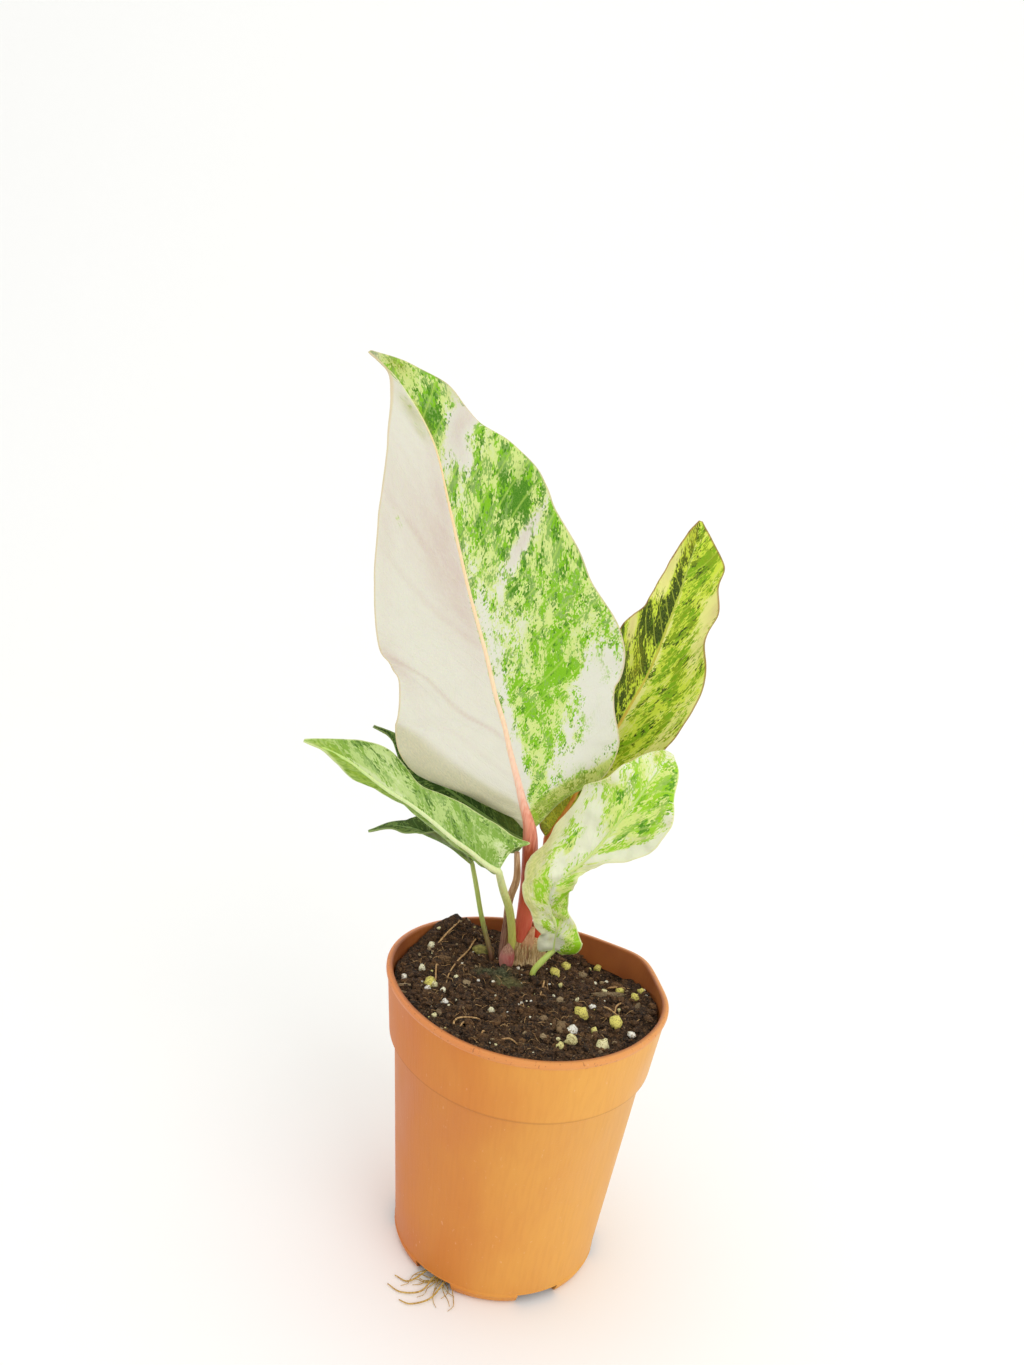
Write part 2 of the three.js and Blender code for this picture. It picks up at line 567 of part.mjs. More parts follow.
// How far the thin pot is squeezed out of round: nothing at the foot, most at the rim.
function potStretch(angle, z) {
  const level = THREE.MathUtils.clamp(z / POT_HEIGHT, 0, 1);
  const oval = -0.022 * Math.sin(2 * angle) + 0.025 * Math.sin(3 * angle);
  const bump = (centre, spread) => {
    const away = THREE.MathUtils.euclideanModulo(angle - centre + Math.PI, 2 * Math.PI) - Math.PI;
    return Math.exp(-((away / spread) ** 2));
  };
  const dent = 0.05 * bump(0.66, 0.2) - 0.018 * bump(0.22, 0.2);
  return 1 + level * oval + level ** 6 * dent;
}

// Pushes a turned shape's points out of round with the pot.
function squeeze(geometry) {
  const position = geometry.getAttribute("position");
  for (let i = 0; i < position.count; i += 1) {
    const x = position.getX(i);
    const y = position.getY(i);
    const factor = potStretch(Math.atan2(y, x), position.getZ(i));
    position.setXY(i, x * factor, y * factor);
  }
  return geometry;
}

function makePot() {
  const profile = [...OUTSIDE, ...INSIDE.toReversed(), [0, POT_FLOOR]];
  const outline = profile.map(([radius, z]) => new THREE.Vector2(radius, z));
  const turned = new THREE.LatheGeometry(outline, POT_SIDES).rotateX(Math.PI / 2);
  let pot = solid(squeeze(turned));
  for (let k = 0; k < SLOTS; k += 1) {
    const angle = SLOT_ANGLE + (2 * Math.PI * k) / SLOTS;
    const length = BODY_FOOT_RADIUS + 4 - SLOT_INNER_RADIUS;
    const slot = new THREE.BoxGeometry(length, SLOT_WIDTH, SLOT_HEIGHT * 2)
      .translate(SLOT_INNER_RADIUS + length / 2, 0, 0)
      .rotateZ(angle);
    pot = pot.subtract(solid(slot));
  }
  return part("pot", geometryOf(pot), COLOURS.pot, 0.45);
}

// The soil's uneven top: a mound at the left back, a hollow at the right back, crumbs all over.
function soilTop(x, y) {
  const mound = 9.4 * Math.exp(-(((x + 38) / 15) ** 2) - ((y - 42) / 14) ** 2);
  const hollow = -7 * Math.exp(-(((x - 34) / 18) ** 2) - ((y - 38) / 24) ** 2);
  const slope = -0.03 * y;
  const lumps = 0.7 * Math.sin(x * 0.33 + 1.3) * Math.sin(y * 0.29 + 0.4);
  const crumbs = 0.6 * Math.sin(x * 0.83 + y * 0.51) * Math.cos(y * 0.77 - x * 0.36);
  return SOIL_LEVEL + mound + hollow + slope + lumps + crumbs;
}

// The radius of the wall's inside at a height, before the squeeze.
function insideRadius(z) {
  const i = INSIDE.findIndex(([, level], k) => k > 0 && z <= level);
  const [r0, z0] = INSIDE[i - 1];
  const [r1, z1] = INSIDE[i];
  return THREE.MathUtils.mapLinear(Math.max(z, z0), z0, z1, r0, r1);
}

// The soil with its gap to the wall: rings up the side, then rings inwards over the top.
function soilBody() {
  const wall = (z) => (angle) => insideRadius(z) * potStretch(angle, z) - SOIL_GAP;
  const ring = (radiusAt, heightAt) =>
    Array.from({ length: POT_SIDES }, (_, k) => {
      const angle = (2 * Math.PI * k) / POT_SIDES;
      const x = radiusAt(angle) * Math.cos(angle);
      const y = radiusAt(angle) * Math.sin(angle);
      return new THREE.Vector3(x, y, heightAt(x, y));
    });
  const floor = POT_FLOOR + SOIL_GAP;
  const levels = [floor, POT_FLOOR + 3, COLLAR_FOOT - 1, COLLAR_FOOT + 1.5, SHOULDER];
  const rings = levels.map((z) => ring(wall(z), () => z));
  const edge = wall(SHOULDER);
  for (let k = SOIL_RINGS; k > 0; k -= 1) {
    rings.push(ring((angle) => (edge(angle) * k) / SOIL_RINGS, soilTop));
  }
  return ringsGeometry(rings, new THREE.Vector3(0, 0, floor), new THREE.Vector3(0, 0, soilTop(0, 0)));
}

// A solid post for cutting a plain hole that a stem stands in.
function post(place, radius) {
  const top = POT_HEIGHT + 10;
  const shape = new THREE.CylinderGeometry(radius, radius, top - HOLE_FLOOR, 14).rotateX(Math.PI / 2);
  return shape.translate(place.x, place.y, (HOLE_FLOOR + top) / 2);
}

function makeSoil() {
  const extras = [];
  for (const [x, y, radius] of GRAIN_PLACES) {
    const grain = new THREE.IcosahedronGeometry(radius, 0).rotateZ(x).rotateX(y);
    extras.push(grain.translate(x, y, soilTop(x, y) + radius * GRAIN_RISE));
  }
  for (const [x, y, length, width, turn] of CHIP_PLACES) {
    const chip = new THREE.BoxGeometry(length, width, CHIP_THICKNESS)
      .rotateX(THREE.MathUtils.degToRad(turn / 8))
      .rotateZ(THREE.MathUtils.degToRad(turn));
    extras.push(chip.translate(x, y, soilTop(x, y)));
  }
  for (const places of ROOT_PLACES) {
    const path = places.map(([x, y], i) => {
      const buried = i === 0 || i === places.length - 1;
      return [x, y, soilTop(x, y) + (buried ? -ROOT_BURIED : ROOT_RADIUS)];
    });
    extras.push(stalkGeometry(path, [ROOT_RADIUS, ROOT_RADIUS], 5, places.length + 1));
  }
  for (const path of DRAIN_ROOTS) {
    extras.push(stalkGeometry(path, [DRAIN_ROOT_RADIUS, DRAIN_ROOT_RADIUS], 5, 8));
  }
  const { x, y } = KNUCKLE_PLACE;
  extras.push(new THREE.IcosahedronGeometry(1, 1).scale(...KNUCKLE_RADII).translate(x, y, soilTop(x, y)));
  const footOf = ({ stalk }) => new THREE.Vector2(stalk[0][0], stalk[0][1]);
  const holes = [
    post(CROWN_PLACE, CROWN_RADIUS + SEAT_GAP),
    post(BUD_PLACE, BUD_RADIUS + SEAT_GAP),
    post(footOf(LEAF_C), LEAF_C.stalkRadius[0] + LEANING_GAP),
    post(footOf(LEAF_E), LEAF_E.stalkRadius[0] + LEANING_GAP),
    stripGeometry(SHEATH, SEAT_GAP).translate(0, 0, -SEAT_GAP),
  ];
  let soil = solid(soilBody());
  extras.forEach((extra) => {
    soil = soil.add(solid(extra));
  });
  holes.forEach((hole) => {
    soil = soil.subtract(solid(hole));
  });
  return part("soil", geometryOf(soil), COLOURS.soil, 1);
}

// The space that a stalk's foot takes in the crown, wider all round and deeper by the seat gap.
function stalkSleeve(path, radii) {
  const [x, y, z] = path[0];
  const deeper = [x, y, z - SEAT_GAP];
  const wider = radii.map((radius) => radius + SEAT_GAP);
  return stalkGeometry([deeper, ...path.slice(1)], wider, 10, STALK_STEPS);
}

// The crown has a plain hole round the foot of each stalk that stands in it.
function makeCrown() {
  const foot = HOLE_FLOOR + SEAT_GAP;
  const lump = lumpGeometry(CROWN_PLACE, CROWN_RADIUS, foot, CROWN_TOP, 20, CROWN_SHAPE, 0.05);
  let crown = solid(lump).add(solid(stripGeometry(CROWN_FLAP)));
  for (const { stalk, stalkRadius } of [LEAF_A, LEAF_B, LEAF_D, LEAF_F]) {
    crown = crown.subtract(solid(stalkSleeve(stalk, stalkRadius)));
  }
  crown = crown.subtract(solid(stalkSleeve(OLD_STALK, OLD_STALK_RADIUS)));
  return part("crown", geometryOf(crown), COLOURS.crown, 0.9);
}

function makeBud() {
  const foot = HOLE_FLOOR + SEAT_GAP;
  const bud = lumpGeometry(BUD_PLACE, BUD_RADIUS, foot, BUD_TOP, 12, BUD_SHAPE, 0.03);
  return part("bud", bud, COLOURS.bud, 0.7);
}

// One leaf: its blade and stalk in one solid. Only its outer skin is kept, so that no speck of
// space stays shut in where the stalk runs into the rib.
function makeLeaf(leaf) {
  const blade = solid(bladeGeometry(leaf));
  const stalk = solid(stalkGeometry(leaf.stalk, leaf.stalkRadius));
  const skins = blade.add(stalk).decompose();
  const outer = skins.reduce((a, b) => (b.volume() > a.volume() ? b : a));
  return part(leaf.name, geometryOf(outer), leaf.colour, 0.5);
}

const plant = new THREE.Group().add(
  makePot(),
  makeSoil(),
  makeCrown(),
  makeBud(),
  part("sheath", stripGeometry(SHEATH), COLOURS.sheath, 0.9),
  part("old_stalk", stalkGeometry(OLD_STALK, OLD_STALK_RADIUS), COLOURS.oldStalk, 0.85),
  ...LEAVES.map(makeLeaf),
);

export default plant;
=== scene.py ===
"""Models a young variegated Anthurium hookeri in its nursery pot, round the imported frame.

Sizes are in millimetres up to the point where a mesh is made, and in metres from there on.
"""

import math
import random
from functools import partial

import bpy
import numpy as np
from bpy.props import EnumProperty, FloatProperty, FloatVectorProperty, IntProperty, PointerProperty
from mathutils import Matrix, Vector, noise


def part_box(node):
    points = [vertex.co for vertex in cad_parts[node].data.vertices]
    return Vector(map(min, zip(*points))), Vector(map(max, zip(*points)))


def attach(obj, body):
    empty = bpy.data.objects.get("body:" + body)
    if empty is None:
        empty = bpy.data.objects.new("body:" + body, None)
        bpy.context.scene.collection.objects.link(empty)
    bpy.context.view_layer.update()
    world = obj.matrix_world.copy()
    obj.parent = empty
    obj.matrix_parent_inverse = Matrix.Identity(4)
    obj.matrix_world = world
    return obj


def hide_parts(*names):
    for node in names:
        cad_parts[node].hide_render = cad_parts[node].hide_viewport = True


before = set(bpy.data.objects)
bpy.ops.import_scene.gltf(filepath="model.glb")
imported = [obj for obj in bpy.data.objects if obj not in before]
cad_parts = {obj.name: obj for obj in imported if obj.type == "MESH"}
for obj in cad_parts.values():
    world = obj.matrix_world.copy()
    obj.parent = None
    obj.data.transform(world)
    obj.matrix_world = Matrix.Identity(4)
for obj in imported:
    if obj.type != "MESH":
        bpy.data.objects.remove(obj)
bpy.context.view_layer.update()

bl_info = {
    "name": "Potted variegated Anthurium hookeri",
    "version": (1, 0, 0),
    "blender": (4, 5, 0),
    "location": "3D View > Sidebar > Anthurium",
    "description": "Models a young variegated foliage plant in its filled nursery pot",
    "category": "Add Mesh",
}

MM = 0.001
POT_LOW, POT_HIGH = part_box("pot")
BUD_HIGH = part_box("bud")[1]

# A direction that no stalk, midrib or root runs along, from which rings of points are turned.
ASIDE = (0.31, 0.9, 0.13)

# Pot, as turned in the frame
POT_HEIGHT = (POT_HIGH.z - POT_LOW.z) / MM
RIM_RADIUS = 60
RIM_LIP = 2.8
COLLAR_HEIGHT = 28
COLLAR_FOOT_RADIUS = 56
BODY_TOP_RADIUS = 53.5
BODY_FOOT_RADIUS = 43.5
POT_WALL = 1.7
POT_FLOOR = 2
FOOT_CORNER = 3
COLLAR_FOOT = POT_HEIGHT - COLLAR_HEIGHT
SHOULDER = 108
# How the thin pot is squeezed out of round: waves round the wall as count and depth, and dents by
# the rim as angle, reach and depth.
POT_WAVES = ((2, -0.022), (3, 0.025))
POT_DENTS = ((0.66, 0.2, 0.05), (0.22, 0.2, -0.018))
SLOTS = 6
SLOT_ANGLE = math.radians(-120)
SLOT_SIZE = (12.5, 18, 9.2)
SLOT_MIDDLE_RADIUS = 41.25
# The inside of the wall as radius and height, from the floor up.
INSIDE = [
    (BODY_FOOT_RADIUS - POT_WALL - 0.4, POT_FLOOR),
    (BODY_FOOT_RADIUS - POT_WALL + 0.5, POT_FLOOR + 3),
    (BODY_TOP_RADIUS - POT_WALL, COLLAR_FOOT - 1),
    (COLLAR_FOOT_RADIUS - POT_WALL, COLLAR_FOOT + 1.5),
    (RIM_RADIUS - RIM_LIP - 1.1, SHOULDER),
    (RIM_RADIUS - RIM_LIP, POT_HEIGHT - 1),
]
# The outside, from the middle of the underside up to the rim's inner edge.
OUTSIDE = [
    (0, 0),
    (20, 0),
    (BODY_FOOT_RADIUS - FOOT_CORNER, 0),
    (BODY_FOOT_RADIUS - FOOT_CORNER * 0.65, FOOT_CORNER * 0.08),
    (BODY_FOOT_RADIUS - FOOT_CORNER * 0.3, FOOT_CORNER * 0.3),
    (BODY_FOOT_RADIUS - FOOT_CORNER * 0.08, FOOT_CORNER * 0.65),
    (BODY_FOOT_RADIUS, FOOT_CORNER),
    (BODY_FOOT_RADIUS + 0.5, FOOT_CORNER + 0.6),
    (BODY_FOOT_RADIUS + 0.6, FOOT_CORNER + 1.1),
    (BODY_FOOT_RADIUS + 0.5, FOOT_CORNER + 1.6),
    (BODY_FOOT_RADIUS + 0.3, FOOT_CORNER + 2),
    (BODY_TOP_RADIUS, COLLAR_FOOT - 1),
    (BODY_TOP_RADIUS + 0.5, COLLAR_FOOT - 0.3),
    (COLLAR_FOOT_RADIUS - 0.5, COLLAR_FOOT),
    (COLLAR_FOOT_RADIUS - 0.1, COLLAR_FOOT + 0.3),
    (COLLAR_FOOT_RADIUS, COLLAR_FOOT + 0.8),
    (RIM_RADIUS - 1, POT_HEIGHT - 4),
    (RIM_RADIUS - 0.85, POT_HEIGHT - 2.8),
    (RIM_RADIUS - 0.3, POT_HEIGHT - 2.2),
    (RIM_RADIUS, POT_HEIGHT - 1.6),
    (RIM_RADIUS, POT_HEIGHT - 0.8),
    (RIM_RADIUS - 0.25, POT_HEIGHT - 0.25),
    (RIM_RADIUS - 0.8, POT_HEIGHT),
    (RIM_RADIUS - RIM_LIP + 0.5, POT_HEIGHT),
    (RIM_RADIUS - RIM_LIP + 0.1, POT_HEIGHT - 0.4),
]

# Soil
SOIL_GAP = 0.3
SOIL_LEVEL = 115
SOIL_SLOPE = -0.03
SOIL_SIDES = 240
SOIL_RINGS = 64
# Heights at which the mix follows the wall.
SOIL_LEVELS = (POT_FLOOR + SOIL_GAP, *(level for _, level in INSIDE[1:-1]))
# The mound at the left back and the hollow at the right back: place, reach along x and y, height.
SOIL_MOUNDS = ((-38, 42, 15, 14, 9.4), (34, 38, 18, 24, -7))
# The crumbled surface: a layer of the noise, its grain size, roughness, gap, octaves and height.
CRUMB_LAYERS = ((3, 2.2, 0.9, 2.1, 4, 1.1), (9, 7.5, 1.0, 2.0, 3, 1.7))
CRUMB_REACH = 54.5
SLOT_CRUMBS = 40
# White and yellow grains that show: place, radius, and 0 for white to 1 for yellow.
GRAINS = [
    (16.4, 31, 2.1, 1), (11.7, 20, 2.3, 1), (31.4, 43, 1.7, 1), (27.8, 42, 0.9, 0.8),
    (30, 26.5, 1.2, 0.3), (35, 29, 1.2, 0.2), (14.4, 9.3, 0.9, 0.8), (33.8, 14.7, 1.1, 0.6),
    (40.8, 18.4, 1.7, 1), (46.3, 8.4, 1.9, 1), (49.5, 16, 1.5, 1), (24.8, 15, 0.6, 0.1),
    (21.8, -2.4, 0.9, 0.5), (28.4, -6.9, 1.4, 0), (23.3, -16.5, 2.6, 1), (20, -28.6, 2.3, 0.05),
    (20, -38.5, 2.4, 0.7), (15.9, -41.5, 1.4, 0.8), (14.9, -37.5, 0.9, 0.6), (29, -26.5, 1.3, 0.9),
    (37.7, -19, 2.6, 1), (43.7, -25.6, 1.5, 0.05), (32.1, -37, 2.6, 0.6), (39.4, -4, 0.7, 0.7),
    (2.8, -9, 0.8, 0), (11.9, -3, 0.6, 0.3), (33.4, 1, 0.5, 0.2), (51.3, 20, 0.7, 0.2),
    (51.4, 10.5, 0.6, 0.2), (-44.4, 25, 1.5, 0.4), (-45.4, 4.2, 1.6, 0.35), (-40, -7.2, 2.2, 1),
    (-38, -8.5, 1.5, 0.6), (-40, -13, 1.2, 0), (-30, 1, 1, 0.5), (-20.4, 1, 0.6, 0),
    (-14.1, 0.5, 0.7, 0.2), (-33.7, -13, 1.3, 0.3), (-31.5, -22, 1.4, 0), (-29.4, -25.5, 0.8, 0.4),
    (-34.2, -32.5, 1, 0.6), (-12.5, -22.6, 1.4, 0.4), (-11.6, -27, 1, 0.4),
    (-13.6, -28.5, 0.9, 0.5), (-0.9, -13.8, 0.8, 0), (-2, -15.5, 0.6, 0), (-4.7, 17.6, 0.7, 0.1),
    (-51.2, -6, 1.3, 0.1), (-43, 34, 0.8, 0.6),
]
STRAY_GRAINS = 70
STRAY_BOX = 52
STRAY_REACH = 51
# Bark chips: place, length, width, turn in degrees, and how brown, pale and green each is.
CHIP_THICKNESS = 3
CHIPS = [
    (35, 7.4, 16, 2, 17, (0.1, 0.5, 0)), (15.7, -27, 8.5, 4.5, 85, (1, 0.3, 0)),
    (12.8, -27, 7.5, 1.6, 88, (0.9, 0.05, 0)), (-37.6, 15.7, 8, 3, 10, (0.9, 0.1, 0)),
    (8.5, -23, 4, 2.5, 30, (1, 0.4, 0)), (-33, -10, 5, 3, 75, (0.5, 0, 0)),
    (3, -20, 6, 3, 160, (0.6, 0, 0)), (-8, 50, 6, 4, 40, (0.5, 0, 0)),
    (-20, -36, 5, 3, 130, (0.7, 0, 0)),
]
# Thin roots that lie on the soil, as the places they pass.
ROOT_RADIUS = 0.45
ROOTS = [
    [(-22.8, 43), (-25.9, 33), (-28, 25.5), (-31.4, 13.4), (-33.4, 1), (-32.9, -9)],
    [(-38.6, 12), (-39.4, 6.2), (-38.2, -2.4), (-37.3, -7)],
    [(-44, 22), (-39, 30), (-35, 38), (-35, 43)],
    [(-25.3, -38), (-25.8, -35.3), (-23.4, -32), (-17.2, -31.6), (-13.6, -31.2)],
    [(-21.1, -33.8), (-22.4, -37), (-23.8, -41)],
    [(-13.1, -37.8), (-14.2, -41.5), (-14.7, -46.3)],
    [(-9.4, -45.8), (-6.3, -43.3), (-3.1, -43.5), (0.4, -43.8)],
    [(7, 13), (7.3, 8), (6.7, 1), (6.2, -4.5), (4.3, -9)],
    [(31, -2), (34.2, -5.5), (37.3, -8.7), (38.7, -12), (39.6, -15)],
    [(45.6, 6), (41.9, 2), (38.4, -2.8), (37.3, -8.7), (33.4, -18)],
    [(35, 23.5), (36.6, 20.5), (40.3, 22), (45, 20.5), (49, 17.7)],
]
# Fine fibres in the scatter: how far out they start and end, their stride, height and radii.
FIBRE_REACH = 50
FIBRE_LIMIT = 53
FIBRE_STRIDE = 2.1
FIBRE_LIFT = (-0.4, 0.5, 0.5, -0.4)
FIBRE_RADII = [0.1, 0.15, 0.08]
# Old alga on the soil: place, reach along x and y, and 0 for blue green to 1 for olive.
ALGAE = [(-15, 11, 8, 4.5, 0), (-8, 5, 6, 4.5, 1)]
# Roots that grow out of the slot at the left front, as full places.
DRAIN_ROOT_RADIUS = 0.42
DRAIN_ROOTS = [
    [(-17, -30, 3.2), (-21, -37, 2.4), (-25, -44, 1), (-33, -46, 0.8), (-39, -43, 0.8)],
    [(-20, -28, 3.4), (-25, -35, 2.2), (-31, -40, 0.9), (-37, -38, 0.8)],
    [(-14, -32, 3.2), (-17, -40, 2.2), (-21, -47, 0.9), (-28, -51, 0.8), (-33, -50, 0.8)],
]
FINE_DRAIN_ROOTS = 14
FINE_DRAIN_ROOT_RADII = [0.24, 0.2, 0.1]
DRAIN_ROOT_STRIDE = 3.2
# A piece of old stem that lies in the mix.
KNUCKLE_PLACE = (-22, 28)
KNUCKLE_RADII = (4.5, 3, 3)

# Short stem, bud, sheath and dried stalk
CROWN_PLACE = (-3.5, 33)
CROWN_RADIUS = 9.5
CROWN_RIPPLE = 0.05
CROWN_SHAPE = [0.9, 1, 1, 0.98, 0.9, 0.78]
CROWN_TOP = 123
# Above its shoulder the crown draws in, and the fibres over it with it.
CROWN_SHOULDER = 117
CROWN_FIBRES = 220
CROWN_FIBRE_FOOT = 113.5
CROWN_FIBRE_RADII = [0.3, 0.26, 0.1]
CROWN_FLAP = {
    "path": [(-2.5, 25, 114), (-2.2, 25.3, 120), (-1.4, 26.5, 126), (-0.4, 28, 131)],
    "half_width": [4, 3.6, 2, 0.6],
    "thickness": 0.8,
    "curl": 0.5,
}
HOLE_FLOOR = 104.3
BUD_PLACE = (-10.2, 19.6)
BUD_RADIUS = 3.4
BUD_RIPPLE = 0.03
BUD_SHAPE = [0.55, 0.55, 0.55, 0.62, 0.84, 1, 0.95, 0.68, 0.1]
# Between these heights the bud's rose scale turns to brown paper.
BUD_PAPER = (120.5, 122.5)
SHEATH = {
    "path": [(-12.9, 26.5, 104.3), (-12.9, 26.5, 114.5), (-12.9, 26.3, 125), (-13.2, 25.2, 135.7)],
    "half_width": [1.5, 1.5, 1.5, 0.6],
    "thickness": 0.6,
    "curl": 0.6,
}
STALK_FOOT = 115.5
OLD_STALK = [
    (-11, 32.5, STALK_FOOT), (-12.6, 30, 128), (-12.6, 25, 143), (-10.6, 22, 155), (-12, 21.5, 167),
]
OLD_STALK_RADIUS = [1.3, 1.5, 1.7, 1.6, 1.2]

